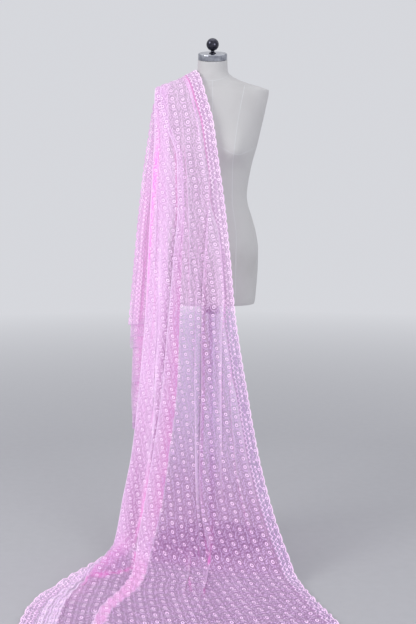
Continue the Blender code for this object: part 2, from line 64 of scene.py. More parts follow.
HIDDEN_PLEATS = (
    # layer, where its outer fold is from side to edge, how much shorter the back stretch is there
    (4, 0.2, 0.05),
    (6, 0.4, 0.28),
    (8, 1.0, 0.36),
)
PATH = (
    # name, y, z, y_arm, z_arm, bow, sag, normal
    ("back_end", 0.190, 0.335, 0.150, 0.335, 0.000, 0.000, 180),
    ("back_knee", 0.188, 0.560, 0.148, 0.560, 0.000, 0.000, 180),
    ("back_seat", 0.186, 0.800, 0.146, 0.800, 0.000, 0.000, 180),
    ("back_hip", 0.184, 0.960, 0.144, 0.960, 0.000, 0.000, 180),
    ("back_waist", 0.178, 1.120, 0.138, 1.120, 0.000, 0.000, 180),
    ("back_rib", 0.166, 1.270, 0.128, 1.260, 0.000, 0.000, 177),
    ("blade", 0.148, 1.390, 0.108, 1.370, 0.000, 0.000, 170),
    ("back_yoke", 0.118, 1.480, 0.088, 1.450, 0.000, 0.000, 156),
    ("back_brow", 0.070, 1.557, 0.061, 1.503, 0.000, 0.004, 130),
    ("ridge", 0.000, 1.578, 0.000, 1.521, 0.000, 0.005, 90),
    ("brow", -0.056, 1.557, -0.054, 1.502, 0.000, 0.004, 48),
    ("chest", -0.084, 1.500, -0.071, 1.452, 0.006, 0.000, 24),
    ("breast", -0.117, 1.410, -0.082, 1.368, 0.016, 0.000, 12),
    ("bust", -0.138, 1.315, -0.094, 1.280, 0.018, 0.000, 4),
    ("waist", -0.150, 1.160, -0.106, 1.130, 0.012, 0.000, 3),
    ("hip", -0.168, 0.980, -0.118, 0.960, 0.008, 0.000, 5),
    ("seat", -0.196, 0.800, -0.128, 0.790, 0.006, 0.000, 7),
    ("knee", -0.245, 0.560, -0.142, 0.555, 0.010, 0.000, 10),
    ("calf", -0.300, 0.340, -0.160, 0.340, 0.020, 0.000, 14),
    ("shin", -0.352, 0.180, -0.176, 0.190, 0.034, 0.000, 22),
    ("ankle", -0.398, 0.080, -0.188, 0.098, 0.050, 0.000, 38),
    ("landing", -0.442, 0.020, -0.206, 0.046, 0.062, 0.000, 66),
    ("floor_near", -0.530, 0.0068, -0.300, 0.034, 0.050, 0.000, 88),
    ("floor_mid", -0.630, 0.0050, -0.430, 0.018, 0.035, 0.000, 90),
    ("floor_far", -0.760, 0.0036, -0.640, 0.0050, 0.015, 0.000, 90),
    ("train_end", -0.930, 0.0026, -0.900, 0.0026, 0.000, 0.000, 90),
)
FOLDS = (
    # name, outer, pleat, trough, ridge, inset, band, lap, side, hide, edge, pitch, wave
    ("back_end", -0.15, -0.2, -0.212, -0.225, -0.238, -0.28, 0.07, -0.282, 0.1, -0.291, 0.0065, 0.006),
    ("back_seat", -0.128, -0.18, -0.196, -0.214, -0.236, -0.262, 0.08, -0.262, 0.112, -0.262, 0.0062, 0.006),
    ("back_waist", -0.104, -0.156, -0.172, -0.19, -0.212, -0.24, 0.07, -0.232, 0.095, -0.24, 0.0056, 0.005),
    ("blade", -0.08, -0.13, -0.144, -0.16, -0.18, -0.206, 0.046, -0.202, 0.064, -0.216, 0.0043, 0.003),
    ("ridge", -0.0545, -0.101, -0.114, -0.13, -0.148, -0.17, 0.012, -0.187, 0.044, -0.1865, 0.0009, 0.001),
    ("chest", -0.022, -0.07, -0.088, -0.11, -0.142, -0.166, 0.012, -0.187, 0.044, -0.186, 0.0026, 0.002),
    ("breast", 0.003, -0.045, -0.07, -0.096, -0.122, -0.142, 0.012, -0.187, 0.046, -0.184, 0.0027, 0.003),
    ("bust", 0.016, -0.032, -0.056, -0.08, -0.1, -0.115, 0.018, -0.193, 0.048, -0.189, 0.0031, 0.003),
    ("waist", 0.038, -0.01, -0.036, -0.064, -0.09, -0.112, 0.022, -0.201, 0.056, -0.196, 0.004, 0.006),
    ("hip", 0.057, 0.008, -0.022, -0.062, -0.102, -0.127, 0.029, -0.21, 0.064, -0.204, 0.005, 0.009),
    ("seat", 0.073, 0.024, -0.014, -0.06, -0.102, -0.142, 0.036, -0.219, 0.07, -0.213, 0.0055, 0.012),
    ("knee", 0.11, 0.034, -0.024, -0.06, -0.108, -0.163, 0.048, -0.24, 0.074, -0.234, 0.006, 0.015),
    ("calf", 0.151, 0.044, -0.028, -0.056, -0.122, -0.194, 0.053, -0.265, 0.076, -0.259, 0.006, 0.015),
    ("shin", 0.195, 0.062, -0.026, -0.05, -0.14, -0.22, 0.056, -0.295, 0.078, -0.289, 0.0058, 0.014),
    ("landing", 0.258, 0.078, -0.02, -0.05, -0.16, -0.246, 0.044, -0.325, 0.054, -0.331, 0.0048, 0.012),
    ("floor_near", 0.284, 0.09, -0.024, -0.058, -0.18, -0.25, 0.042, -0.348, 0.036, -0.382, 0.0036, 0.009),
    ("floor_mid", 0.312, 0.104, -0.03, -0.07, -0.2, -0.272, 0.044, -0.388, 0.004, -0.457, 0.0016, 0.007),
    ("floor_far", 0.35, 0.13, -0.03, -0.08, -0.215, -0.328, 0.036, -0.436, -0.008, -0.536, 0.0006, 0.006),
    ("train_end", 0.385, 0.15, -0.02, -0.09, -0.225, -0.345, 0.03, -0.44, -0.008, -0.545, 0.0003, 0.002),
)

def slopes_without_overshoot(xs, ys):
    """Slopes for a cubic through the points that never swings past them."""
    gaps = np.diff(xs)
    rises = np.diff(ys, axis=0) / gaps[:, None]
    slopes = np.zeros_like(ys)
    slopes[0] = rises[0]
    slopes[-1] = rises[-1]
    same_way = rises[:-1] * rises[1:] > 0
    before = (2 * gaps[1:] + gaps[:-1])[:, None]
    after = (gaps[1:] + 2 * gaps[:-1])[:, None]
    safe_a = np.where(same_way, rises[:-1], 1.0)
    safe_b = np.where(same_way, rises[1:], 1.0)
    slopes[1:-1] = np.where(same_way, (before + after) / (before / safe_a + after / safe_b), 0.0)
    return slopes


def smooth_table(xs, rows):
    """A function that runs smoothly through the rows and takes an array of x."""
    xs = np.array(xs, float)
    ys = np.array(rows, float)
    slopes = slopes_without_overshoot(xs, ys)

    def at(x):
        x = np.asarray(x, float)
        i = np.clip(np.searchsorted(xs, x, side="right") - 1, 0, len(xs) - 2)
        width = (xs[i + 1] - xs[i])[..., None]
        t = np.clip((x[..., None] - xs[i][..., None]) / width, 0.0, 1.0)
        start = ys[i] * (1 + 2 * t) * (1 - t) ** 2 + slopes[i] * width * t * (1 - t) ** 2
        end = ys[i + 1] * t * t * (3 - 2 * t) + slopes[i + 1] * width * t * t * (t - 1)
        return start + end

    return at


def lengths_along(y, z):
    """The distance of each PATH row from the shoulder ridge, along one side of the stole."""
    places = np.array([(row[y], row[z]) for row in PATH])
    steps = np.hypot(*np.diff(places, axis=0).T)
    along = np.concatenate([[0.0], np.cumsum(steps)])
    return along - along[[row[0] for row in PATH].index("ridge")]


PATH_LENGTHS = lengths_along(1, 2)
LENGTHS = dict(zip([row[0] for row in PATH], PATH_LENGTHS))
path_at = smooth_table(PATH_LENGTHS, [row[1:] for row in PATH])
arm_length_at = smooth_table(PATH_LENGTHS, lengths_along(3, 4)[:, None])
folds_at = smooth_table([LENGTHS[row[0]] for row in FOLDS], [row[1:] for row in FOLDS])


def eased(t):
    """0 up to t = 0, 1 from t = 1 on, and smooth between."""
    t = np.clip(t, 0.0, 1.0)
    return t * t * (3 - 2 * t)


def growing(s, start, end):
    """A share that grows from 0 at one place to 1 at another, along the lengths s."""
    return eased((s - LENGTHS[start]) / (LENGTHS[end] - LENGTHS[start]))


def shares_along(s, places):
    """A share for each length s, from the shares at a few places."""
    return np.interp(s, [LENGTHS[place] for place in places], list(places.values()))


def turn(x, layer, pitch, next_x, lift):
    """Three points round a fold: the path comes in on one layer and leaves on the next one down."""
    radius = np.maximum(pitch / 2, FOLD_RADIUS)
    into = -1.0 if layer % 2 == 0 else 1.0
    out = np.clip((next_x - x) / (3 * radius), -1.0, 1.0)
    return [
        (x - into * radius, lift - layer * pitch, layer, 2),
        (x, lift - (layer + 0.5) * pitch, layer + 0.5, 2),
        (x + out * radius, lift - (layer + 1) * pitch, layer + 1, 10),
    ]


def section_controls(s):
    """The control points of the sections at the lengths s, each an x, a height and a layer.

    With them come the numbers of grid columns from each control point to the next.
    """
    outer, pleat, trough, ridge, inset, band, lap, side, hide, edge, pitch, wave = folds_at(s).T
    pitch = pitch * STACK
    lift = 2 * pitch * growing(s, "ankle", "landing")
    none = 0 * s
    points = [(outer, none, 0, BORDER_STEPS), (outer - BORDER_WIDTH, none, 0, 22)]
    points += [(pleat, wave * 0.8, 0, 28), (trough, none, 0, 20)]
    points += [(ridge, wave, 0, 24), (inset, 0.2 * wave, 0, 22)]
    points += turn(band, 0, pitch, band + lap, lift)
    points += turn(band + lap, 1, pitch, side, lift)
    points.append((0.35 * (band + lap) + 0.65 * side, lift - 2 * pitch + 0.3 * wave, 2, 16))
    reach = side
    layer = 2
    for _, share, _ in HIDDEN_PLEATS:
        points += turn(reach, layer, pitch, reach + hide, lift)
        following = side + (edge - side) * share
        points += turn(reach + hide, layer + 1, pitch, following, lift)
        reach = following
        layer += 2
    points.append((edge + BORDER_WIDTH, lift - layer * pitch, layer, BORDER_STEPS))
    points.append((edge, lift - layer * pitch, layer, 0))
    knots = np.array([[p[0], p[1], p[2] + none] for p in points])
    return knots, [p[3] for p in points]


def between(p, q, at_p, at_q, t):
    """The point at t on the straight line through p at at_p and q at at_q."""
    return p * (at_q - t) / (at_q - at_p) + q * (t - at_p) / (at_q - at_p)


def rounded(knots, counts):
    """Centripetal Catmull-Rom curves through the control points, with layers counted in even steps."""
    knots = np.concatenate([[2 * knots[0] - knots[1]], knots, [2 * knots[-1] - knots[-2]]])
    curve = []
    for i, count in enumerate(counts[:-1]):
        a, b, c, d = knots[i : i + 4]
        gaps = [np.sqrt(np.maximum(np.hypot(*(q - p)[:2]), LEAST_GAP)) for p, q in ((a, b), (b, c), (c, d))]
        ta, tb, tc, td = np.cumsum([0 * gaps[0], *gaps], axis=0)
        for share in np.linspace(0, 1, count, endpoint=False):
            t = tb + (tc - tb) * share
            middle = between(b, c, tb, tc, t)
            before = between(between(a, b, ta, tb, t), middle, ta, tc, t)
            after = between(middle, between(c, d, tc, td, t), tb, td, t)
            point = between(before, after, tb, tc, t)
            point[2] = (b + (c - b) * share)[2]
            curve.append(point)
    curve.append(knots[-2])
    return np.array(curve).transpose(2, 0, 1)


def shortened(s, layer):
    """Below the shoulder blade the arm side is shorter, so the back end hangs in steps."""
    past = s - LENGTHS["blade"]
    layers = [2] + [row[0] for row in HIDDEN_PLEATS]
    cuts = [0.0] + [row[2] for row in HIDDEN_PLEATS]
    return np.where(past < 0, LENGTHS["blade"] + past * (1 - np.interp(layer, layers, cuts)), s)


def hanging_points(s):
    """Points of the sections at the lengths s, how far down the cloth each is, and which way it faces."""
    x, height, layer = rounded(*section_controls(s)).transpose(2, 0, 1)
    side, hide = folds_at(s)[:, 7:9].T[:, :, None]
    outer = x[:, :1]
    at = shortened(s[:, None], layer)
    y, z, y_arm, z_arm, bow, sag, normal = np.moveaxis(path_at(at), -1, 0)
    q = np.clip((outer - x) / (outer - side), 0.0, 1.0)
    hanging = np.clip((z_arm - SPREAD_FROM) / (SPREAD_TO - SPREAD_FROM), 0.0, 1.0)
    over_pleats = eased(1 + (side + np.maximum(hide, 0.0) - x) / PLEAT_RAMP)
    rise = hanging * q + (1 - hanging) * np.where(layer > 2, 1.0, over_pleats)
    angle = np.radians(normal)
    depth = y + (y_arm - y) * q - bow * np.sin(math.pi * q)
    level = z + (z_arm - z) * rise - sag * np.sin(math.pi * q) ** 2
    points = np.stack([x, depth - height * np.cos(angle), level + height * np.sin(angle)], -1)
    down = at * (1 - q) + arm_length_at(at)[..., 0] * q
    facing = np.stack([0 * x, -np.cos(angle), np.sin(angle)], -1)
    return points, down, facing, layer


def facing_out(points):
    """The normals of a grid of points."""
    normals = np.cross(np.gradient(points, axis=1), np.gradient(points, axis=0))
    return normals / np.linalg.norm(normals, axis=2, keepdims=True)


def across_lengths(points):
    """The distance of each point from the first of its row, along the row."""
    steps = np.linalg.norm(np.diff(points, axis=1), axis=2)
    return np.concatenate([np.zeros((len(points), 1)), np.cumsum(steps, axis=1)], axis=1)


# ---------------------------------------------------------------- creases and marks

# Creases laid over that shape, in millimetres. A crease stands this far out of the cloth over this
# half width, and leans over to the neck side, or to the arm side where the lean is below zero. Its
# foot is given as an (x, share) at the first place and at each PATH row after it. None leaves a row
# out. A streak is a line of painted marks, given in the same way: a pale painted highlight where the
# net is doubled, a painted glow, or painted shade.
CREASES = (
    # layer, half width, height, lean, first place, (x, share) down the foot
    (0, 4.5, 4, 20, "back_brow", (-114, 0), (-108, 0.7), (-98, 1), (-79, 0.8), (-58, 0.6), (-47, 0)),
    (0, 4.2, 4, 8, "bust", (-22, 0), (-3, 0.8), (14, 0.9), (28, 1), (64, 1), (104, 1), (149, 0.6),
     (186, 0)),
    (0, 4, 5, 10, "breast", (-122, 0), (-106, 0.7), (-104, 1), (-118, 0.7), (-128, 0)),
    (0, 5.5, 6, -9, "breast", (-88, 0), (-78, 0.6), (-70, 1), (-68, 0.8), (-66, 0)),
    (0, 4.5, 6, -11, "waist", (-36, 0), (-40, 0.6), (-44, 1), (-48, 1), (-45, 1), (-40, 0.8),
     (-36, 0.5), (-36, 0)),
    (0, 7, 5, -24, "bust", (-4, 0), (-4, 0.5), (-6, 0.9), (-10, 1), (-15, 1), (-18, 1), (-16, 0.8),
     (-12, 0.5), (-14, 0)),
    (0, 4.5, 5.5, 9, "waist", (4, 0), (14, 0.8), (22, 1), (19, 1), (21, 0.7), (32, 0)),
    (0, 4.5, 4, -7, "seat", (56, 0), (60, 0.8), (78, 1), (110, 0.6), (140, 0)),
    (2, 4.5, 6, 10, "hip", (-180, 0), (-186, 1), (-200, 1), (-213, 0.8), (-236, 0.5), (-250, 0)),
    (2, 4, 4.5, 8, "chest", (-180, 0), (-178, 0.8), (-180, 1), (-186, 1), (-192, 0.8), (-198, 0.6),
     (-222, 0.3), (-240, 0)),
    (0, 6, 5, 20, "shin", (-6, 0), (-12, 0.7), (-34, 1), (-40, 0.9), (-44, 0.4), (-50, 0)),
    (0, 5.5, 5, 14, "ankle", (-76, 0), (-84, 0.9), (-88, 1), (-94, 0.4), (-100, 0)),
    (2, 6, 6, -22, "ankle", (-262, 0), (-288, 0.8), (-322, 1), (-366, 1), (-400, 0.6), (-420, 0)),
    (0, 6, 6, 16, "back_end", (-186, 1), (-178, 1), (-168, 1), None, (-148, 0.8), (-132, 0.4),
     (-120, 0)),
    (0, 5, 6, -14, "back_end", (-212, 0.8), (-206, 1), (-192, 1), None, (-170, 0.6), None, (-140, 0)),
    (2, 5, 5, 12, "back_end", (-250, 1), (-240, 1), (-226, 0.8), None, (-206, 0)),
    (8, 4.5, -5, 10, "back_end", (-262, 0.8), None, (-240, 1), None, (-216, 0.6), None, (-190, 0)),
)
BEHIND_ARM = ("back_end", (-254, 0), (-248, 0.7), (-240, 1), (-235, 1), (-229, 0.8), (-224, 0.2))
STREAKS = (
    # mark, layer, half width, first place, (x, share) down the streak
    ("glow", 4, 12, *BEHIND_ARM),
    ("glow", 6, 12, *BEHIND_ARM),
    ("glow", 8, 12, *BEHIND_ARM),
    ("glow", 2, 4, "chest", (-178, 0), (-177, 0.4), (-183, 1), (-196, 1), (-208, 1), (-217, 0.2)),
    ("deep", 2, 34, "knee", (-205, 0.1), (-232, 0.5), (-258, 0.8), (-262, 0.9), (-268, 0.6), (-280, 0)),
    ("deep", 0, 13, "waist", (-10, 0), (-12, 0.6), (-14, 1), (-17, 1), (-23, 0.9), (-27, 0.7),
     (-28, 0.3)),
    ("pale", 0, 3, "seat", (-44, 0), (-48, 0.7), (-45, 0.8), (-40, 0.4), (-36, 0)),
    ("pale", 0, 3, "hip", (14, 0), (22, 0.6), (19, 0.7), (21, 0.4), (32, 0)),
    ("glow", 0, 3.4, "shin", (-4, 0), (-8, 0.3), (-24, 0.6), (-29, 0.6), (-26, 0)),
    ("deep", 0, 6, "shin", (-4, 0), (-8, 0.7), (-24, 1), (-29, 1), (-26, 0.3), (-20, 0)),
    ("deep", 0, 22, "waist", (12, 0), (18, 0.3), (20, 0.4), (28, 0.4), (36, 0.3), (50, 0)),
    ("glow", 0, 3.2, "ankle", (-80, 0), (-84, 0.2), (-74, 0.7), (-64, 0)),
    ("glow", 2, 22, "ankle", (-270, 0), (-292, 0.25), (-328, 0.3), (-384, 0.2), (-410, 0)),
    ("pale", 2, 13, "ankle", (-270, 0), (-300, 0.5), (-334, 0.6), (-380, 0.4), (-420, 0)),
    ("glow", 2, 9, "landing", (-218, 0), (-272, 0.55), (-370, 0.45), (-420, 0)),
    ("deep", 2, 11, "landing", (-218, 0), (-272, 0.8), (-370, 0.8), (-420, 0)),
    ("pale", 0, 5.5, "back_brow", (-108, 0), (-103, 0.3), (-92, 0.45), (-70, 0.5), (-45, 0.5),
     (-32, 0.4), (-10, 0.2), (9, 0.2), (25, 0.3), (62, 0.3), (104, 0.2), None, (176, 0)),
    ("pale", 2, 5, "waist", (-160, 0), (-170, 0.6), (-176.5, 1), (-190, 1), (-203, 0.9), (-226, 0.5),
     (-240, 0)),
)
# Painted shade and painted glow on the net beside some folds.
BESIDE_FOLDS = (
    # mark, layer that ends at the fold, how far the mark reaches beside it, shares along it
    ("deep", 0, 0.012, {"bust": 0, "waist": 0.5, "hip": 0.9, "seat": 1, "calf": 0.9, "ankle": 0.2}),
    ("glow", 0, 0.006, {"breast": 0, "bust": 0.5, "waist": 0.4, "hip": 0}),
    ("glow", 0, 0.006, {"calf": 0, "shin": 0.7, "landing": 0.8, "floor_near": 0.3, "floor_mid": 0}),
)
# How much painted light the net behind the others gets, and how much painted shade and glow the doubled band
# gets, at a few places down the stole.
BEHIND_SHARES = {"blade": 1, "ridge": 0.25, "chest": 0.45, "bust": 1, "ankle": 1, "floor_near": 0.45}
DOUBLED_SHARES = {"waist": 0, "seat": 1, "shin": 1, "landing": 0}
# The painted marks: a pale highlight where the net is also doubled, a pink glow, shade, shade on the net
# that hangs free, and light on the net behind the others.
MARKS = ("pale", "glow", "deep", "free", "behind")
RIPPLES = (
    # height, how wide, how fast it drifts down the cloth, start
    (0.0009, 0.0230, 2.1, 0.4),
    (0.0006, 0.0137, -3.3, 1.9),
)
WAVE_LENGTH = 0.042  # of the small waves in the train
WAVE_HEIGHT = 0.0032
WAVE_BENDS = ((5.0, 11.0), (2.2, 37.0))  # how far and how fast the waves bend on their way across
WAVER = 0.3  # how far a crease wavers to its sides, in half widths
WAVER_SPEED = 11.0
WAVER_START = 300  # for each metre of half width, so that no two creases waver together
SAME_LAYER = 0.2
FORM_HEM_FRONT = 0.80  # where the stole passes the form's hem
FORM_HEM_BACK = -0.84
HEM_FADE = 0.03
FOLD_FADE = 0.006
# How wide the pale line at each fold is, where the net is doubled and a highlight is painted.
PALE_WIDTH = 0.0030
CREST_WIDTH = 0.4  # of the painted highlight along a crease's crest, in half widths
CREST_HIGHLIGHT = 0.5
FOOT_PLACE = 1.3  # of the painted pink shade beside a crease, in half widths from its crest
FOOT_WIDTH = 0.5
FOOT_GLOW = 0.35
# How much painted shade and painted glow the doubled band, the net lying on the floor, the net that turns
# and the lowest net get.
BAND_SHADE = 0.74
BAND_GLOW = 0.24
LYING_GLOW = 0.22
TURN_GLOW = 0.30
LOW_SHADE = 0.88
TOP_LAYER = 0.4  # a layer below this counts as the top one
BAND_MARGIN = 0.002
TURNING_LAYERS = (0.3, 1.9)
BEHIND_LAYER = 2.2  # from here on a layer counts as behind the others
BEHIND_FADE = 0.6
# How the painted shade of free net and of the lowest net changes where the net lies on the floor.
LYING_SINGLE_LESS = 0.3
LYING_UNDER_FREE = 0.6
LYING_SHADE_LESS = 0.45


def down_the_path(first, *feet):
    """The lengths of a line's places, and the x in metres and the share at each of them."""
    lengths = PATH_LENGTHS[list(LENGTHS).index(first) :]
    kept = [(length, foot[0] / 1000, foot[1]) for length, foot in zip(lengths, feet) if foot]
    return np.array(kept)[:, 0], np.array(kept)[:, 1:]


def crease_run(cloth, width, line):
    """How far each point is from a crease's middle, in half widths, and how much crease there is."""
    lengths, feet = down_the_path(*line)
    middle, share = smooth_table(lengths, feet)(cloth["s"]).T
    share = np.where((cloth["s"] < lengths[0]) | (cloth["s"] > lengths[-1]), 0.0, share)
    middle = middle + WAVER * width * np.sin(WAVER_SPEED * cloth["s"] + WAVER_START * width)
    return (cloth["x"] - middle[:, None]) / width, share[:, None]


def raised(cloth, layer, width, height, lean, *line):
    """How far one crease moves each point of the cloth."""
    u, share = crease_run(cloth, width / 1000, line)
    bell = np.where(np.abs(cloth["layer"] - layer) < SAME_LAYER, share * np.exp(-u * u), 0.0)
    sideways = np.array([1.0, 0.0, 0.0])
    return bell[..., None] * (height / 1000 * cloth["facing"] + lean / 1000 * sideways)


def rippled(cloth):
    """A slight unevenness all over, the same on every layer at one place, and waves in the train."""
    x = cloth["points"][..., 0]
    s = cloth["s"][:, None]
    height = 0 * x
    for size, wide, drift, start in RIPPLES:
        phase = 2 * math.pi * x / wide + start + 2.0 * np.sin(drift * s)
        height = height + size * (1 + np.sin(phase))
    lying = growing(s, "ankle", "floor_near")
    bend = sum(far * np.sin(fast * x) for far, fast in WAVE_BENDS)
    waves = np.sin(2 * math.pi * s / WAVE_LENGTH + bend)
    height = height * (1 - 0.8 * lying) + WAVE_HEIGHT * lying * (1 + waves)
    return height[..., None] * cloth["facing"]


def fold_column(cloth, turned):
    """The column of the cloth's grid at which a layer ends."""
    return np.argmin(np.abs(cloth["layer"][0] - turned - 0.5))


def fold_x(cloth, turned):
    """The x of the fold at which a layer ends, row by row."""
    return cloth["points"][:, fold_column(cloth, turned), None, 0]


def add_mark(cloth, mark, amount):
    """Marks the cloth where the amount is more than what is there."""
    cloth[mark] = np.maximum(cloth[mark], amount)


def mark_folds(cloth):
    """The doubled net at folds is pale and gets a painted highlight; beside some folds it gets painted glow
    and shade.
    """
    across = across_lengths(cloth["points"])
    for turned in range(int(cloth["layer"].max())):
        away = (across - across[:, fold_column(cloth, turned), None]) / PALE_WIDTH
        add_mark(cloth, "pale", np.exp(-away * away))
    for mark, turned, reach, places in BESIDE_FOLDS:
        past = fold_x(cloth, turned) - cloth["points"][..., 0]
        share = shares_along(cloth["s"], places)[:, None]
        beside = (past > 0) & (cloth["layer"] > turned + 1)
        add_mark(cloth, mark, np.where(beside, share * np.exp(-((np.maximum(past, 0.0) / reach) ** 2)), 0.0))


def mark_creases(cloth):
    """Creases get a painted highlight on their crest and painted pink shade on the foot they lean over."""
    for layer, width, _, lean, *line in CREASES:
        u, share = crease_run(cloth, width / 1000, line)
        share = share * (np.abs(cloth["layer"] - layer) < SAME_LAYER)
        foot = (u - math.copysign(FOOT_PLACE, lean)) / FOOT_WIDTH
        add_mark(cloth, "pale", CREST_HIGHLIGHT * share * np.exp(-((u / CREST_WIDTH) ** 2)))
        add_mark(cloth, "glow", FOOT_GLOW * share * np.exp(-foot * foot))
    for mark, layer, width, *line in STREAKS:
        u, share = crease_run(cloth, width / 1000, line)
        add_mark(cloth, mark, share * (np.abs(cloth["layer"] - layer) < SAME_LAYER) * np.exp(-u * u))


def mark_depth(cloth):
    """Marks painted shade on the net that hangs free, painted light on the net that lies behind other
    layers, and more painted shade.

    Free net is a single layer below the form's hem. The doubled band beside the first fold gets painted
    shade and a little painted glow. The lowest net gets painted shade too, and a painted glow where it
    turns and lies.
    """
    s = cloth["s"][:, None]
    x = cloth["points"][..., 0]
    layer = cloth["layer"]
    on_top = layer < TOP_LAYER
    first, second = fold_x(cloth, 0), fold_x(cloth, 1)
    below = np.maximum(eased((s - FORM_HEM_FRONT) / HEM_FADE), eased((FORM_HEM_BACK - s) / HEM_FADE))
    lying = growing(s, "ankle", "floor_near")
    single = eased((x - second) / FOLD_FADE) * on_top
    band = (x < second) * (x > first - BAND_MARGIN) * on_top
    doubled = np.clip((x - first) / (second - first), 0.0, 1.0) * (x < second) * on_top
    doubled = doubled * shares_along(s, DOUBLED_SHARES)
    turning = (layer > TURNING_LAYERS[0]) & (layer < TURNING_LAYERS[1]) & (s > LENGTHS["ankle"])
    low = np.maximum(growing(s, "knee", "shin") * single, lying * (np.abs(layer - 2) < TOP_LAYER))
    free = np.maximum(single * (1 - LYING_SINGLE_LESS * lying), LYING_UNDER_FREE * lying * (1 - band))
    cloth["free"] = np.where(turning, 0.0, below * free)
    cloth["behind"] = eased((layer - BEHIND_LAYER) / BEHIND_FADE) * shares_along(s, BEHIND_SHARES)
    cloth["deep"] = np.maximum(BAND_SHADE * doubled, LOW_SHADE * low * (1 - LYING_SHADE_LESS * lying))
    cloth["glow"] = np.maximum(BAND_GLOW * doubled, np.where(turning, TURN_GLOW, LYING_GLOW * band) * lying)


STRETCHES = (
    # from, to, gap between the rows of the cloth's grid
    ("back_end", "blade", 0.0165),
    ("blade", "chest", 0.0075),
    ("chest", "calf", 0.0145),
    ("calf", "floor_far", 0.0065),
    ("floor_far", "train_end", 0.0100),
)
END_GAP = 0.003


def cloth_rows():
    """Where the rows of the cloth's grid lie along it, closer together where it bends."""
    rows = np.concatenate([np.arange(LENGTHS[start], LENGTHS[end], gap) for start, end, gap in STRETCHES])
    return rows[(rows > LENGTHS["back_end"] + END_GAP) & (rows < LENGTHS["train_end"] - END_GAP)]


def make_cloth():
    """The whole stole as a grid: a row for each place along it, a column for each place across."""
    s = cloth_rows()
    points, down, facing, layer = hanging_points(s)
    facing = np.broadcast_to(facing, points.shape)
    cloth = {"s": s, "x": points[..., 0], "points": points, "down": down, "facing": facing, "layer": layer}
    cloth["points"] = points + sum(raised(cloth, *row) for row in CREASES) + rippled(cloth)
    cloth["normals"] = facing_out(cloth["points"])
    cloth["pale"] = np.zeros_like(cloth["x"])
    mark_depth(cloth)
    mark_folds(cloth)
    mark_creases(cloth)
    return cloth


# ---------------------------------------------------------------- finding a place on the cloth

MAP_STEP = 0.0015
LAST_CELL = 1.001


class Side:
    """The cloth as measured in from one of its long edges."""

    def __init__(self, cloth, from_arm):
        turned = slice(None, None, -1) if from_arm else slice(None)
        self.across = across_lengths(cloth["points"][:, turned])
        self.widths = self.across[:, -1]
        self.marks = np.arange(0, self.widths.max() + MAP_STEP, MAP_STEP)
        self.tables = {}
        # The painted shade of free net and the painted light behind go into the tables too.
        for name in ("points", "normals", "down", "layer", "free", "behind"):
            values = cloth[name][:, turned]
            self.tables[name] = self.marked(values if values.ndim == 3 else values[..., None])
            if values.ndim == 2:
                self.tables[name] = self.tables[name][..., 0]

    def marked(self, values):
        """The values at even steps in from the edge, row by row."""
        made = np.empty((len(values), len(self.marks), values.shape[2]))
        for r, row in enumerate(values):
            for k in range(values.shape[2]):
                made[r, :, k] = np.interp(self.marks, self.across[r], row[:, k])
        return made

    def look_up(self, name, rows, across):
        """What the cloth has under a name at the rows and distances across."""
        table = self.tables[name]
        r = np.clip(rows, 0, len(table) - LAST_CELL)
        c = np.clip(across / MAP_STEP, 0, table.shape[1] - LAST_CELL)
        r0 = r.astype(int)
        c0 = c.astype(int)
        shape = r.shape + (1,) * (table.ndim - 2)
        fr = (r - r0).reshape(shape)
        fc = (c - c0).reshape(shape)
        near = table[r0, c0] * (1 - fc) + table[r0, c0 + 1] * fc
        far = table[r0 + 1, c0] * (1 - fc) + table[r0 + 1, c0 + 1] * fc
        return near * (1 - fr) + far * fr

    def on(self, rows, across, above):
        """Points this far above the cloth at the rows and distances across."""
        normals = self.look_up("normals", rows, across)
        normals /= np.linalg.norm(normals, axis=-1, keepdims=True)
        return self.look_up("points", rows, across) + normals * above[..., None]

    def rows_down(self, across, lengths):
        """The rows at which the cloth's length, this far in from the edge, reaches the lengths."""
        rows = np.arange(len(self.across), dtype=float)
        line = self.look_up("down", rows, across + 0 * rows)
        return np.interp(lengths, line, rows), line

    def face(self, rows, across):
        """1 where the outer face of the net shows, and -1 where the pleat has turned it over."""
        layers = np.rint(self.look_up("layer", rows, across))
        return np.where(layers % 2 == 0, 1.0, -1.0)[:, None]


# ---------------------------------------------------------------- meshes


def as_piece(name, points, faces, smooth=True):
    """A new piece from an array of points and an array of faces with equal corner counts."""
    points = np.asarray(points, float)
    faces = np.asarray(faces, int)
    mesh = bpy.data.meshes.new(name)
    mesh.vertices.add(len(points))
    mesh.vertices.foreach_set("co", points.ravel())
    mesh.loops.add(faces.size)
    mesh.loops.foreach_set("vertex_index", faces.ravel())
    mesh.polygons.add(len(faces))
    mesh.polygons.foreach_set("loop_start", np.arange(0, faces.size, faces.shape[1]))
    mesh.polygons.foreach_set("use_smooth", np.full(len(faces), smooth))
    mesh.update(calc_edges=True)
    piece = bpy.data.objects.new(name, mesh)
    bpy.context.scene.collection.objects.link(piece)
    return piece


def grid_quads(rows, columns, closed=False):
    """The faces of a grid of points. A closed one runs on from its last column to its first."""
    here = np.arange(columns if closed else columns - 1)
    first = np.arange(rows - 1)[:, None] * columns
    a = (first + here).ravel()
    b = (first + (here + 1) % columns).ravel()
    return np.stack([a, b, b + columns, a + columns], -1)


def halved(quads):
    """The same faces as triangles."""
    return np.concatenate([quads[:, [0, 1, 2]], quads[:, [0, 2, 3]]])


def together(*shapes):
    """Several shapes as one, each its points and its faces."""
    counts = np.cumsum([0] + [len(points) for points, _ in shapes])
    faces = [faces + count for (_, faces), count in zip(shapes, counts)]
    return np.concatenate([points for points, _ in shapes]), np.concatenate(faces)


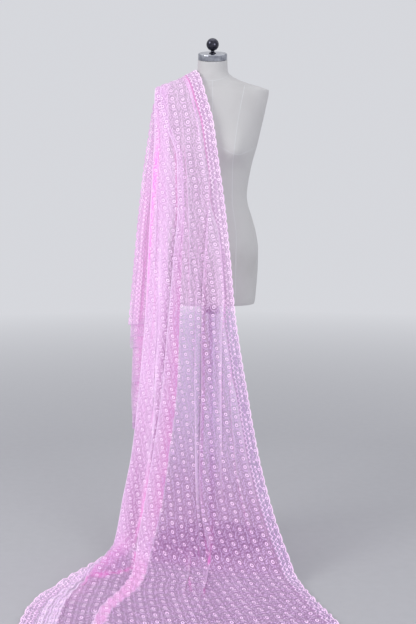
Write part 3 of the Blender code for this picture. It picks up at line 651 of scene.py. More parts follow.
def add_map(piece, name, u, v):
    """A UV map in metres of cloth, from one u and v for each point."""
    layer = piece.data.uv_layers.new(name=name)
    corners = np.empty(len(piece.data.loops), int)
    piece.data.loops.foreach_get("vertex_index", corners)
    pairs = np.stack([np.ravel(u)[corners], np.ravel(v)[corners]], -1)
    layer.uv.foreach_set("vector", pairs.ravel())


def add_amounts(piece, name, amounts):
    """A number for each point, which the materials read by its name."""
    layer = piece.data.attributes.new(name, "FLOAT", "POINT")
    layer.data.foreach_set("value", np.ravel(amounts))


# ---------------------------------------------------------------- embroidery

# A stitched shape lies flat round 0, 0: x runs across the cloth, y down it and z out of it. Its rim
# is sunk a little into the net.
SUNK = -0.0001
RING_SUNK = -0.00012
HOLE_HEIGHT = 0.00005
SLIP_HEIGHT = 0.0003
COLUMN_GAP = 0.036
FLOWER_GAP = 0.0262
FIRST_COLUMN = BORDER_WIDTH + 0.019
FIRST_FLOWER = LENGTHS["back_end"] + 0.03
PAST_THE_END = 0.25  # the layers underneath are longer than the path's own length
END_MARGIN = 0.02
RING = 0.0064
RING_HOLE = 0.0025
RING_NOTCH = 0.12
CRESCENT = (0.0106, -20, 138, 0.0026)  # radius, the angles of its two tips, width
CRESCENT_NOTCHES = (1.25, 0.65)
LEAF_RISE = 0.00045
FLOWER_DOT = 0.0014
NECK_LAYERS = 2.6
TURN_SPREAD = 0.10
SIZE_SPREAD = 0.03

FLOWER_DOTS = ((-0.0104, -0.0006), (-0.0094, -0.0048), (-0.0064, -0.0084))
SPRIGS = (
    # x, y, length, width, angle, all in from a flower's middle
    (-0.0025, -0.0132, 0.0062, 0.0028, 0.2),
    (0.0036, -0.0122, 0.0062, 0.0028, 0.9),
    (0.0092, -0.0092, 0.0056, 0.0026, 0.6),
    (0.0172, -0.0096, 0.0072, 0.0036, 1.2),
    (0.0206, -0.0046, 0.0068, 0.0034, 0.4),
    (0.0150, -0.0030, 0.0060, 0.0030, 2.0),
    (0.0184, 0.0012, 0.0070, 0.0034, 1.2),
    (0.0172, 0.0068, 0.0072, 0.0036, 0.7),
    (0.0206, 0.0098, 0.0062, 0.0030, 1.7),
    (0.0122, 0.0140, 0.0060, 0.0026, 2.4),
    (-0.0146, 0.0046, 0.0062, 0.0028, 1.1),
    (-0.0128, 0.0094, 0.0056, 0.0026, 0.3),
    (-0.0060, 0.0122, 0.0052, 0.0026, 1.9),
)
CUTS = (
    # name of the piece, the places where it begins and ends
    ("back", "back_end", "back_waist"),
    ("shoulder", "back_waist", "bust"),
    ("front", "bust", "shin"),
    ("train", "shin", "train_end"),
)


def full_circle(steps):
    """Angles at even steps all the way round."""
    return np.arange(steps) * 2 * math.pi / steps


def round_rows(radii, heights, angles, x=0.0, y=0.0):
    """Rows of points at the angles round x, y, one row for each radius and height."""
    cos, sin = np.cos(angles), np.sin(angles)
    rows = [np.stack([x + r * cos, y + r * sin, h + 0 * angles], -1) for r, h in zip(radii, heights)]
    return np.concatenate(rows)


def ring(outer, hole, steps, petals, notch, x=0.0, y=0.0, rise=0.0006):
    """A raised ring of satin stitches, with petals round its rim."""
    angles = full_circle(steps)
    rim = outer * (1 - notch * (0.5 - 0.5 * np.cos(petals * angles)))
    radii = [rim, (rim + hole) / 2, hole]
    points = round_rows(radii, [RING_SUNK, rise, HOLE_HEIGHT], angles, x, y)
    return points, halved(grid_quads(3, steps, closed=True))


def crescent(radius, start, end, width, steps):
    """A leafy crescent round a flower: widest in its middle, with a notched outer edge."""
    share = np.linspace(0, 1, steps + 1)
    half = width / 2 * np.sin(math.pi * np.clip(share, 0.04, 0.96)) ** 0.6
    notch = np.where(np.arange(steps + 1) % 2 == 0, *CRESCENT_NOTCHES)
    radii = [radius - half, radius, radius + half * notch]
    points = round_rows(radii, [SUNK, LEAF_RISE, SUNK], np.radians(start + (end - start) * share))
    return points, halved(grid_quads(3, steps + 1))


def dot(x, y, radius, sides=6, rise=0.0005):
    """A small raised dot."""
    rim = round_rows([radius], [SUNK], full_circle(sides), x, y)
    faces = [(sides, k, (k + 1) % sides) for k in range(sides)]
    return np.concatenate([rim, [(x, y, rise)]]), np.array(faces)


def leaf(x, y, length, width, angle, rise=LEAF_RISE):
    """One small leaf, folded up along its middle."""
    along = np.array([math.cos(angle), math.sin(angle)]) * length / 2
    beside = np.array([-math.sin(angle), math.cos(angle)]) * width / 2
    middle = np.array([x, y])
    flat = [middle - along, middle - 0.1 * along + beside, middle + along, middle - 0.1 * along - beside]
    points = [(*p, SUNK) for p in flat] + [(x, y, rise)]
    return np.array(points), np.array([(0, 4, 1), (1, 4, 2), (2, 4, 3), (3, 4, 0)])


def slip(x, y, length, width, angle):
    """The smallest leaf, two stitches wide and flat."""
    points = leaf(x, y, length, width, angle)[0][:4]
    points[:, 2] = SLIP_HEIGHT
    return points, np.array([(0, 1, 2), (0, 2, 3)])


def flower_with_leaves(steps, petals, hand):
    """The motif of the field: a ring flower in a leafy crescent, three dots, and sprigs all round."""
    dots = [dot(x, y, FLOWER_DOT, sides=steps // 3) for x, y in FLOWER_DOTS]
    major = together(ring(RING, RING_HOLE, steps, petals, RING_NOTCH), *dots)
    minor = together(crescent(*CRESCENT, max(steps - 4, 8)), *[slip(*row) for row in SPRIGS])
    points, faces = together(major, minor)
    points[:, 0] *= hand
    return points, faces, np.arange(len(points)) >= len(major[0])


def both_faces(shape):
    """The same little shape on both faces of the net."""
    points, faces, minor = shape
    points, faces = together((points, faces), (points * [1.0, 1.0, -1.0], faces))
    return points, faces, np.tile(minor, 2)


def laid(side, shape, rows, across, turns, sizes, down_steps):
    """Copies of a little shape laid on the cloth, one for each row and distance across."""
    points, faces, minor = shape
    x, y, above = points.T
    cos, sin = np.cos(turns)[:, None], np.sin(turns)[:, None]
    over = (x * cos - y * sin) * sizes[:, None]
    down = (x * sin + y * cos) * sizes[:, None]
    above = above * side.face(rows, across)
    where = side.on(rows[:, None] + down / down_steps[:, None], across[:, None] + over, above)
    first = np.arange(len(rows))[:, None, None] * len(points)
    # Each copy takes the painted shade of free net and the painted light behind from where it lies.
    marks = [np.repeat(side.look_up(name, rows, across), len(points)) for name in ("free", "behind")]
    marks.append(np.tile(minor, len(rows)))
    return where.reshape(-1, 3), (faces[None] + first).reshape(-1, 3), np.stack(marks)


def thread_piece(name, lots):
    """One piece of embroidery from lots of points, faces and marks."""
    piece = as_piece(name, *together(*[(points, faces) for points, faces, _ in lots]))
    marks = np.concatenate([marks for _, _, marks in lots], axis=1)
    # The painted shade of free net, the painted light behind, and which stitches are minor.
    for mark, amounts in zip(("free", "behind", "minor"), marks):
        add_amounts(piece, mark, amounts)
    return piece


def field_spots(side, neck):
    """Rows and distances across of the field's motifs, column by column with a half drop."""
    spots = []
    for k in range(int((side.widths.max() - BORDER_WIDTH) / COLUMN_GAP)):
        across = FIRST_COLUMN + k * COLUMN_GAP
        drop = FLOWER_GAP / 2 if k % 2 else 0.0
        targets = np.arange(FIRST_FLOWER + drop, LENGTHS["train_end"] + PAST_THE_END, FLOWER_GAP)
        at, line = side.rows_down(across, targets)
        at = at[(targets > line[0] + END_MARGIN) & (targets < line[-1] - END_MARGIN)]
        step = np.interp(at, np.arange(len(line)), np.gradient(line))
        layers = side.look_up("layer", at, across + 0 * at)
        kept = (layers <= NECK_LAYERS) == (side is neck)
        spots.append(np.stack([at, across + 0 * at, step])[:, kept])
    return np.concatenate(spots, axis=1)


def make_embroidery(cloth, neck, arm):
    """The flowers over the whole field, in four lengths of the stole."""
    full = flower_with_leaves(16, 8, 1)
    plain = both_faces(flower_with_leaves(12, 6, -1))
    lots = [(side, shape, field_spots(side, neck)) for side, shape in ((neck, full), (arm, plain))]
    pieces = []
    for name, start, end in CUTS:
        shapes = []
        for side, shape, spots in lots:
            places = np.interp(spots[0], np.arange(len(cloth["s"])), cloth["s"])
            here = (places >= LENGTHS[start]) & (places < LENGTHS[end])
            turns = rng.normal(0, TURN_SPREAD, here.sum())
            sizes = 1 + rng.normal(0, SIZE_SPREAD, here.sum())
            rows, across, steps = spots[:, here]
            shapes.append(laid(side, shape, rows, across, turns, sizes, steps))
        pieces.append(thread_piece("stole_flowers_" + name, shapes))
    return pieces


# ---------------------------------------------------------------- the net field and its hems

HEM = 0.004
HEM_THICKNESS = 0.0008


def make_field(cloth):
    """The net between the two borders, one open sheet from the back end to the train's end."""
    inside = slice(BORDER_STEPS, -BORDER_STEPS)
    points = cloth["points"][:, inside]
    piece = as_piece("stole_net", points.reshape(-1, 3), grid_quads(*points.shape[:2]))
    add_map(piece, "cloth", across_lengths(cloth["points"])[:, inside], cloth["down"][:, inside])
    # The net in creases lies edge-on to the plane that it hangs in, and looks closer woven.
    face_on = np.abs(np.sum(cloth["normals"] * cloth["facing"], axis=-1))
    add_amounts(piece, "face_on", np.clip(face_on, 0.0, 1.0)[:, inside])
    # The painted light and shade marks, read by the net's finish.
    for mark in MARKS:
        add_amounts(piece, mark, cloth[mark][:, inside])
    return piece


def make_hems(cloth):
    """The narrow turned hem across each end of the stole."""
    hems = []
    for end, inward in ((0, 1), (-1, -2)):
        edge = cloth["points"][end]
        along = cloth["points"][inward] - edge
        along /= np.linalg.norm(along, axis=-1, keepdims=True)
        out = cloth["normals"][end] * HEM_THICKNESS / 2
        bands = [edge + out, edge + along * HEM + out, edge + along * HEM - out, edge - out, edge + out]
        hems.append((np.concatenate(bands), grid_quads(len(bands), len(edge))))
    points, faces = together(*hems)
    piece = as_piece("stole_hems", points, faces)
    add_map(piece, "cloth", points[:, 0], points[:, 1] + points[:, 2])
    add_amounts(piece, "face_on", np.ones(len(points)))
    # The hems get the full painted light of the net behind the others.
    add_amounts(piece, "behind", np.ones(len(points)))
    return piece


# ---------------------------------------------------------------- the scalloped borders

SCALLOP = 0.0295
SCALLOP_DEPTH = 0.0048
SCALLOP_STEPS = 12
EDGE_LINE = 0.002  # how far in from the edge the scallops are counted
EDGE_MARGIN = 0.0005
CORD_INSET = 0.0018
CORD_RADIUS = 0.0021
CORD_HEIGHT = 0.0011
CORD_ACROSS = np.array([-1.0, -0.62, 0.0, 0.62, 1.0]) * CORD_RADIUS
CORD_ABOVE = np.array([-0.0001, 0.75, 1.0, 0.75, -0.0001]) * CORD_HEIGHT
BORDER_SHARES = np.array([0.0, 0.06, 0.2, 0.4, 0.6, 0.8, 0.92, 1.0])
LINE_SHARES = np.array([0, 0, 0, 0, 0, 0, 0.5, 1.0])
# How strong the painted pink shade along the border's inner line is at a few places down the stole.
INNER_LINE = {
    "blade": 0.2, "ridge": 0.8, "chest": 0.9, "breast": 0.8, "bust": 0.5, "waist": 0.2, "shin": 0.15
}
# The border's embroidery: how far in each motif lies, and its sizes.
LOBE_X = 0.0098
LOBE_RING = (0.0056, 0.0021, 14, 7, 0.16)  # radius, hole, steps, petals, notch
LOBE_LEAF = (0.0066, 0.0034)  # length, width
LOBE_LEAF_PLACE = 0.0092
LOBE_LEAN = 1.35
DIP_X = 0.0072
LATTICE_X = 0.0215
LATTICE_LEAF = (0.0200, 0.0038)
LATTICE_LEAN = 0.80
LATTICE_DOT = 0.0017
EDGING_X = 0.0328
EDGING_LEAF = (0.0098, 0.0036)
EDGING_LEAN = 0.70
EDGING_RING_X = 0.0352
EDGING_RING = (0.0030, 0.0010, 8, 4, 0.0)
EDGING_RING_RISE = 0.0004
EDGING_DOT_X = 0.0290
BORDER_DOT = 0.0018
BORDER_RISE = 0.0005


def scallop_edge(scallops):
    """How far in from the cloth's edge the rounded scallops lie, this many scallops along."""
    share = np.mod(scallops, 1.0)
    return SCALLOP_DEPTH * (1 - np.sqrt(np.clip(1 - (2 * share - 1) ** 2, 0.0, 1.0)))


def border_rows(side):
    """Rows at even lengths along an edge, with the scallops counted along them."""
    _, line = side.rows_down(EDGE_LINE, np.array([0.0]))
    start = line[0] + EDGE_MARGIN
    end = line[-1] - EDGE_MARGIN
    count = round((end - start) / SCALLOP)
    scallops = np.linspace(0, count, count * SCALLOP_STEPS + 1)
    rows, _ = side.rows_down(EDGE_LINE, start + scallops * (end - start) / count)
    return rows, scallops, count


def make_border(side, name, nodes, inner):
    """The border's net, cut to scallops along its outer edge and as wide as inner, row by row."""
    rows, scallops, _ = border_rows(side)
    edge = scallop_edge(scallops)[:, None]
    across = edge + (np.interp(rows, np.arange(len(inner)), inner)[:, None] - edge) * BORDER_SHARES
    rows = rows[:, None] + 0 * across
    points = side.on(rows, across, 0.0 * across)
    piece = as_piece(name, points.reshape(-1, 3), grid_quads(*across.shape))
    add_map(piece, "cloth", across, scallops[:, None] * SCALLOP + 0 * across)
    add_amounts(piece, "face_on", np.ones(across.size))
    # The border's net takes the painted shade of free net, the painted light behind, and painted pink shade
    # along its inner line.
    add_amounts(piece, "free", side.look_up("free", rows, across))
    add_amounts(piece, "behind", side.look_up("behind", rows, across))
    places = np.interp(rows[:, :1], np.arange(len(inner)), cloth_rows())
    add_amounts(piece, "glow", shares_along(places, INNER_LINE) * LINE_SHARES)
    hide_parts(*nodes)
    return piece


def satin_cord(side, rows, scallops):
    """A flat satin cord along the scallops."""
    inward = scallop_edge(scallops) + CORD_INSET
    across = inward[:, None] + CORD_ACROSS
    points = side.on(rows[:, None] + 0 * across, across, CORD_ABOVE * side.face(rows, inward))
    # The cord gets half the painted shade of free net, and the painted light behind from the border's
    # middle.
    behind = side.look_up("behind", rows, 0 * rows + BORDER_WIDTH / 2)
    marks = np.stack([np.full(across.size, 0.5), np.repeat(behind, across.shape[1]), np.zeros(across.size)])
    return points.reshape(-1, 3), halved(grid_quads(*across.shape)), marks


def border_motif():
    """One scallop's embroidery, centred on its lobe: x is in from the edge, y along it."""
    half = SCALLOP / 2
    lattice = []
    edging = []
    for y in (-half / 2, half / 2):
        for way in (1, -1):
            lattice.append(leaf(LATTICE_X, y, *LATTICE_LEAF, way * LATTICE_LEAN, BORDER_RISE))
            edging.append(leaf(EDGING_X, y - way * half / 4, *EDGING_LEAF, way * EDGING_LEAN, BORDER_RISE))
        lattice.append(dot(LATTICE_X, y + half / 2, LATTICE_DOT))
        edging.append(ring(*EDGING_RING, x=EDGING_RING_X, y=y, rise=EDGING_RING_RISE))
        edging.append(dot(EDGING_DOT_X, y + half / 2, BORDER_DOT))
    lobe = [ring(*LOBE_RING, x=LOBE_X)]
    lobe += [leaf(LOBE_X, way * LOBE_LEAF_PLACE, *LOBE_LEAF, way * LOBE_LEAN) for way in (1, -1)]
    points, faces = together(*lobe, dot(DIP_X, half, BORDER_DOT), *lattice, *edging)
    return points, faces, np.zeros(len(points))


def make_border_work(side, name, motif):
    """The border's embroidery: the cord along the scallops and a motif under each of them."""
    rows, scallops, count = border_rows(side)
    middles = np.arange(count) + 0.5
    at = np.interp(middles, scallops, rows)
    steps = np.interp(middles, scallops, SCALLOP * np.gradient(scallops, rows))
    none = 0 * at
    motifs = laid(side, motif, at, none, none, none + 1, steps)
    return thread_piece(name, [motifs, satin_cord(side, rows, scallops)])


# ---------------------------------------------------------------- the dress form's body

BODY_RINGS = (
    # z, half_width, front, back, power
    (0.8140, 0.1380, 0.104, 0.108, 2.3),
    (0.8200, 0.1405, 0.106, 0.111, 2.3),
    (0.8600, 0.1450, 0.110, 0.117, 2.3),
    (0.9000, 0.1485, 0.113, 0.122, 2.3),
    (0.9500, 0.1508, 0.116, 0.126, 2.3),
    (0.9950, 0.1512, 0.116, 0.125, 2.3),
    (1.0500, 0.1435, 0.108, 0.114, 2.3),
    (1.1000, 0.1300, 0.099, 0.100, 2.3),
    (1.1400, 0.1175, 0.092, 0.090, 2.3),
    (1.1730, 0.1130, 0.090, 0.085, 2.3),
    (1.2100, 0.1170, 0.093, 0.088, 2.3),
    (1.2500, 0.1240, 0.098, 0.093, 2.3),
    (1.2850, 0.1320, 0.104, 0.097, 2.3),
    (1.3200, 0.1420, 0.107, 0.100, 2.3),
    (1.3500, 0.1500, 0.106, 0.103, 2.3),
    (1.3900, 0.1590, 0.101, 0.105, 2.3),
    (1.4300, 0.1685, 0.092, 0.105, 2.3),
    (1.4700, 0.1770, 0.080, 0.101, 2.3),
    (1.5000, 0.1830, 0.070, 0.091, 2.2),
    (1.5130, 0.1840, 0.064, 0.082, 2.1),
    (1.5190, 0.1720, 0.061, 0.077, 2.0),
    (1.5270, 0.1470, 0.058, 0.072, 2.0),
    (1.5370, 0.1130, 0.056, 0.066, 2.0),
    (1.5470, 0.0860, 0.054, 0.061, 2.0),
    (1.5580, 0.0640, 0.053, 0.057, 2.0),
    (1.5700, 0.0520, 0.051, 0.053, 2.0),
    (1.5850, 0.0490, 0.049, 0.050, 2.0),
    (1.6120, 0.0480, 0.048, 0.048, 2.0),
)
BUST_HEIGHT = 1.315
BUST_SPREAD = 0.082
BUST_WIDTH = 0.046
BUST_RISE = 0.030
BUST_ABOVE = 0.060
BUST_BELOW = 0.036
NECK_TOP = 1.612
NECK_LEAN = math.radians(14)
LEAN_START = 1.560
BODY_COLUMNS = 160
BODY_STRETCHES = ((0.814, 0.822, 4), (0.822, 1.50, 120), (1.50, NECK_TOP, 56))  # from, to, rows

BODY_SEAMS = (
    # side, (x, z) down the seam; each but the middle ones has its mirror on the other side
    (-1, (0.0, 1.545), (0.0, 1.45), (0.0, 1.30), (0.0, 1.15), (0.0, 1.0), (0.0, 0.816)),
    (1, (0.0, 1.57), (0.0, 1.45), (0.0, 1.30), (0.0, 1.15), (0.0, 1.0), (0.0, 0.816)),
    (-1, (0.104, 1.527), (0.089, 1.455), (0.070, 1.33), (0.063, 1.25), (0.063, 1.17), (0.076, 1.04),
     (0.0725, 0.816)),
    (1, (0.100, 1.53), (0.092, 1.42), (0.074, 1.30), (0.062, 1.17), (0.078, 1.0), (0.074, 0.816)),
)
SEAM_GAP = 0.006
SEAM_ACROSS = np.array([-0.0016, -0.0008, 0.0, 0.0008, 0.0016])
SEAM_ABOVE = np.array([-0.0002, 0.0004, 0.0006, 0.0004, -0.0002])
CROSS_SEAM_ACROSS = np.array([-0.0014, 0.0, 0.0014])
CROSS_SEAM_ABOVE = np.array([-0.0002, 0.0005, -0.0002])
SURFACE_STEP = 0.0005
BUST_SEAM = (0.012, 0.140)  # the x of its two ends
BUST_SEAM_START = 1.338
BUST_SEAM_DIP = 0.036
BUST_SEAM_CLIMB = 0.0672
NECK_SEAM_SPAN = 0.98
NECK_SEAM_MIDDLE = {-1: 1.5405, 1: 1.5745}
NECK_SEAM_SIDE = 1.5675

ring_at = smooth_table([row[0] for row in BODY_RINGS], [row[1:] for row in BODY_RINGS])


def bust_reach(x, z):
    """How far the bust stands out of the body's rings."""
    spread = (np.abs(x) - BUST_SPREAD) / BUST_WIDTH
    level = z - BUST_HEIGHT
    fall = level / np.where(level > 0, BUST_ABOVE, BUST_BELOW)
    return BUST_RISE * np.exp(-spread * spread - fall * fall)


def body_point(x_share, side, z):
    """The body's surface at the height z: x as a share of its half width, side -1 in front."""
    half_width, front, back, power = np.moveaxis(ring_at(z), -1, 0)
    x = half_width * x_share
    round_off = np.clip(1 - np.abs(x_share) ** power, 0.0, 1.0)
    y = np.where(side > 0, back, -front) * round_off ** (1 / power)
    bust = bust_reach(x, z) * np.minimum(round_off ** 0.5 * 1.6, 1.0)
    y = y - np.where(side < 0, bust, 0.0)
    lean = np.maximum(z - LEAN_START, 0.0) / (NECK_TOP - LEAN_START) * math.tan(NECK_LEAN)
    return np.stack([x, y, z + lean * y], -1)


def make_body():
    """The canvas body, turned smooth."""
    heights = np.concatenate([np.linspace(low, high, rows)[:-1] for low, high, rows in BODY_STRETCHES])
    heights = np.append(heights, NECK_TOP)
    angles = full_circle(BODY_COLUMNS)
    z = heights[:, None] + 0 * angles
    power = ring_at(heights)[:, 3:4]
    share = np.sign(np.cos(angles)) * np.abs(np.cos(angles)) ** (2 / power)
    points = body_point(share, np.where(np.sin(angles) > 0, 1.0, -1.0) + 0 * z, z)
    piece = as_piece("form_body", points.reshape(-1, 3), grid_quads(*z.shape, closed=True))
    shape = bmesh.new()
    shape.from_mesh(piece.data)
    shape.verts.ensure_lookup_table()
    for rim in (shape.verts[:BODY_COLUMNS][::-1], shape.verts[-BODY_COLUMNS:]):
        shape.faces.new(rim)
    bmesh.ops.recalc_face_normals(shape, faces=shape.faces)
    shape.to_mesh(piece.data)
    shape.free()
    piece.data.set_sharp_from_angle(angle=math.radians(50))
    return piece


def over_body(x, z, side, above):
    """A grid of points this far above the body's surface at x, z, with its faces."""

    def at(dx, dz):
        share = np.clip((x + dx) / ring_at(z + dz)[..., 0], -1.0, 1.0)
        return body_point(share, side + 0 * share, z + dz)

    step = SURFACE_STEP
    here = at(0, 0)
    normals = np.cross(at(step, 0) - at(-step, 0), at(0, step) - at(0, -step))
    normals /= np.linalg.norm(normals, axis=-1, keepdims=True)
    outward = np.sign(np.sum(normals[..., :2] * here[..., :2], axis=-1, keepdims=True))
    return (here + normals * outward * above[..., None]).reshape(-1, 3), grid_quads(*x.shape)


def long_seam(side, line, flip):
    """A narrow raised seam down the body."""
    x_at = smooth_table([-z for _, z in line], [[x] for x, _ in line])
    heights = np.arange(line[0][1], line[-1][1], -SEAM_GAP)
    x = x_at(-heights)[:, :1] * flip + SEAM_ACROSS
    return over_body(x, heights[:, None] + 0 * SEAM_ACROSS, side, SEAM_ABOVE)


def cross_seam(x, z, side):
    """A narrow raised seam that runs across the body."""
    across = CROSS_SEAM_ACROSS
    return over_body(x[:, None] + 0 * across, z[:, None] + across, side, CROSS_SEAM_ABOVE)


def bust_seam(flip):
    """The curved seam under one side of the bust."""
    share = np.linspace(0, 1, 40)
    dip = BUST_SEAM_DIP * np.sin(np.clip(share / 0.62, 0, 1) * math.pi / 2)
    climb = BUST_SEAM_CLIMB * np.clip(share - 0.55, 0, 1) ** 1.2
    start, end = BUST_SEAM
    return cross_seam((start + (end - start) * share) * flip, BUST_SEAM_START - dip + climb, -1)


def neck_seam(side):
    """Half of the seam round the foot of the neck."""
    shares = np.linspace(-NECK_SEAM_SPAN, NECK_SEAM_SPAN, 60)
    middle = NECK_SEAM_MIDDLE[side]
    z = middle + (NECK_SEAM_SIDE - middle) * np.abs(shares) ** 1.4
    return cross_seam(shares * ring_at(z)[:, 0] * 0.995, z, side)


def make_seams():
    """All the seams of the body."""
    seams = []
    for side, *line in BODY_SEAMS:
        for flip in (1, -1) if line[1][0] else (1,):
            seams.append(long_seam(side, line, flip))
    seams += [bust_seam(1), bust_seam(-1), neck_seam(-1), neck_seam(1)]
    return as_piece("form_seams", *together(*seams))


# ---------------------------------------------------------------- materials


def shade(red, green, blue):
    """A colour as it looks on screen, from 0 to 1, turned into light."""
    light = [c / 12.92 if c <= 0.04045 else ((c + 0.055) / 1.055) ** 2.4 for c in (red, green, blue)]
    return (*light, 1.0)


NET_PALE = shade(0.90, 0.765, 0.905)
NET_DEEP = shade(0.875, 0.71, 0.885)
# Painted shade round the flowers and over the border's net.
NET_SHADE = shade(0.76, 0.54, 0.78)
# Painted shade on the net that hangs free in a single layer: two random tones and its shade round the
# flowers.
NET_FREE = shade(0.78, 0.63, 0.85)
NET_FREE_DEEP = shade(0.74, 0.58, 0.81)
NET_FREE_SHADE = shade(0.62, 0.46, 0.70)
# Painted shade for the deep marks.
NET_DEEP_SHADE = shade(0.66, 0.40, 0.64)
# Painted highlight on the net behind the others and along folds and creases, where doubled net is also
# paler.
NET_HIGHLIGHT = shade(0.93, 0.85, 0.95)
# A painted pink glow, also used as painted pink shade beside folds and creases.
NET_GLOWING = shade(0.97, 0.54, 0.87)
# Emission colours: a painted glow that stands in for light passing through the sheer net.
NET_LIT = shade(0.32, 0.25, 0.32)
NET_LIT_FREE = shade(0.10, 0.08, 0.10)
NET_LIT_BEHIND = shade(0.42, 0.34, 0.41)
NET_LIT_HIGHLIGHT = shade(0.60, 0.53, 0.61)
NET_LIT_THROUGH = shade(0.74, 0.21, 0.58)
THREAD_PALE = shade(0.985, 0.89, 0.98)
THREAD_DEEP = shade(0.95, 0.825, 0.945)
# Painted shade on thread over the net that hangs free.
THREAD_FREE = shade(0.975, 0.85, 0.975)
THREAD_FREE_DEEP = shade(0.93, 0.78, 0.935)
# Emission colours: a painted glow on the thread.
THREAD_LIT = shade(0.30, 0.25, 0.29)
THREAD_LIT_FREE = shade(0.24, 0.19, 0.23)
THREAD_LIT_BEHIND = shade(0.48, 0.40, 0.46)
CANVAS_PALE = shade(0.80, 0.795, 0.795)
CANVAS_DEEP = shade(0.725, 0.72, 0.725)
CANVAS_SOILED = shade(0.68, 0.67, 0.67)
SEAM_PALE = shade(0.83, 0.83, 0.835)
SEAM_DEEP = shade(0.76, 0.76, 0.77)
CAP_DARK = shade(0.55, 0.56, 0.60)
CAP_LIGHT = shade(0.72, 0.73, 0.76)
BALL_DARK = shade(0.22, 0.22, 0.26)
BALL_LIGHT = shade(0.34, 0.34, 0.38)
STEEL_DARK = shade(0.78, 0.78, 0.81)
STEEL_LIGHT = shade(0.86, 0.86, 0.89)
ENAMEL = shade(0.40, 0.41, 0.46)
KNOB_ENAMEL = shade(0.10, 0.10, 0.12)
ENAMEL_DUSTY = shade(0.52, 0.53, 0.57)

# The scales of the patterns, as numbers to a metre.
NET_CELLS = 640.0
NET_LEAVES = 185.0
NET_PATCHES = 9.0
THREAD_STITCHES = 900.0
THREAD_PATCHES = 14.0
CANVAS_WEAVE = 260.0
CANVAS_SOIL = 6.0
SEAM_STITCHES = 130.0
ENAMEL_GRAIN = 420.0
ENAMEL_DUST = 12.0

EYE_RIM = 0.0008
RING_MARGIN = 0.0006
GAP_FULL = 0.0010  # how far past a flower's ring the painted shade on the plain net is at its darkest
GAP_END = 0.0094  # where that has faded, out from the flower's middle
LEAF_SOFTNESS = 0.12
EDGE_ON = 0.22  # net more edge-on than this looks no closer woven


def operator(operation, turned=False):
    """An arithmetic operator that makes a Math node. A turned one has the Amount on its right."""

    def work(self, other):
        first, second = (other, self) if turned else (self, other)
        return self.finish.node("Math", {"operation": operation}, {0: first, 1: second})

    return work


class Amount:
    """A node's output, worked with like a number."""

    def __init__(self, finish, socket):
        self.finish = finish
        self.socket = socket

    __add__ = operator("ADD")
    __radd__ = operator("ADD", turned=True)
    __sub__ = operator("SUBTRACT")
    __rsub__ = operator("SUBTRACT", turned=True)
    __mul__ = operator("MULTIPLY")
    __rmul__ = operator("MULTIPLY", turned=True)
    __truediv__ = operator("DIVIDE")
    __rtruediv__ = operator("DIVIDE", turned=True)
    __pow__ = operator("POWER")
    __rpow__ = operator("POWER", turned=True)


class Finish:
    """A material under construction round its Principled shader.

    Settings are the shader's plain values, with _ for each space in a socket's name.
    """

    def __init__(self, name, **settings):
        self.material = bpy.data.materials.new(name)
        self.material.use_nodes = True
        self.nodes = self.material.node_tree.nodes
        self.shader = self.nodes["Principled BSDF"]
        for socket, value in settings.items():
            self.set(socket.replace("_", " "), value)

    def feed(self, socket, value):
        """Links an Amount to a socket, or sets the socket to a plain value."""
        if isinstance(value, Amount):
            self.material.node_tree.links.new(value.socket, socket)
        else:
            socket.default_value = value

    def set(self, socket, value):
        """Feeds a socket of the Principled shader."""
        self.feed(self.shader.inputs[socket], value)

    def node(self, kind, settings, inputs, output=0):
        """A new node with its settings and inputs; gives back one of its outputs."""
        node = self.nodes.new("ShaderNode" + kind)
        for name, value in settings.items():
            setattr(node, name, value)
        for socket, value in inputs.items():
            self.feed(node.inputs[socket], value)
        return Amount(self, node.outputs[output])

    def mixed(self, share, first, second):
        """A colour between two colours."""
        return self.node("Mix", {"data_type": "RGBA"}, {0: share, 6: first, 7: second}, output=2)

    def ranged(self, value, low, high, to_low=0.0, to_high=1.0):
        """A value from low to high, moved to the range from to_low to to_high."""
        inputs = {0: value, 1: low, 2: high, 3: to_low, 4: to_high}
        return self.node("MapRange", {"clamp": True}, inputs)

    def place(self):
        """The place on the piece, in metres."""
        return self.node("TexCoord", {}, {}, output=3)

    def noise(self, where, scale, detail=2.0):
        """A cloudy pattern, mostly between 0.3 and 0.7."""
        return self.node("TexNoise", {}, {"Vector": where, "Scale": scale, "Detail": detail})

    def amount(self, name):
        """One of the numbers that the piece has for each point."""
        return self.node("Attribute", {"attribute_name": name}, {}, output=2)

    def bumped(self, height, strength, distance=0.0003):
        """Raises the surface a little where the height is more."""
        inputs = {"Height": height, "Strength": strength, "Distance": distance}
        self.set("Normal", self.node("Bump", {}, inputs))


def shade_round_flowers(net, where):
    """Painted shade on the plain net in a flower's eye and round its ring, where the raised stitches would
    shade it.
    """
    u, v = [net.node("SeparateXYZ", {}, {0: where}, output=k) for k in range(2)]
    column = (u - FIRST_COLUMN) * (1 / COLUMN_GAP)
    nearest = net.node("Math", {"operation": "ROUND"}, {0: column})
    odd = net.node("Math", {"operation": "FLOORED_MODULO"}, {0: nearest, 1: 2.0})
    row = (v - FIRST_FLOWER) * (1 / FLOWER_GAP) - odd * 0.5
    beside = (column - nearest) * COLUMN_GAP
    below = (row - net.node("Math", {"operation": "ROUND"}, {0: row})) * FLOWER_GAP
    reach = (beside * beside + below * below) ** 0.5
    eye = net.ranged(reach, RING_HOLE, RING_HOLE + EYE_RIM, 1.0, 0.0)
    outside = net.ranged(reach, RING - RING_MARGIN, RING)
    near = net.ranged(reach, RING + GAP_FULL, GAP_END, 1.0, 0.0)
    return eye * 1.3 + outside * near * 0.6


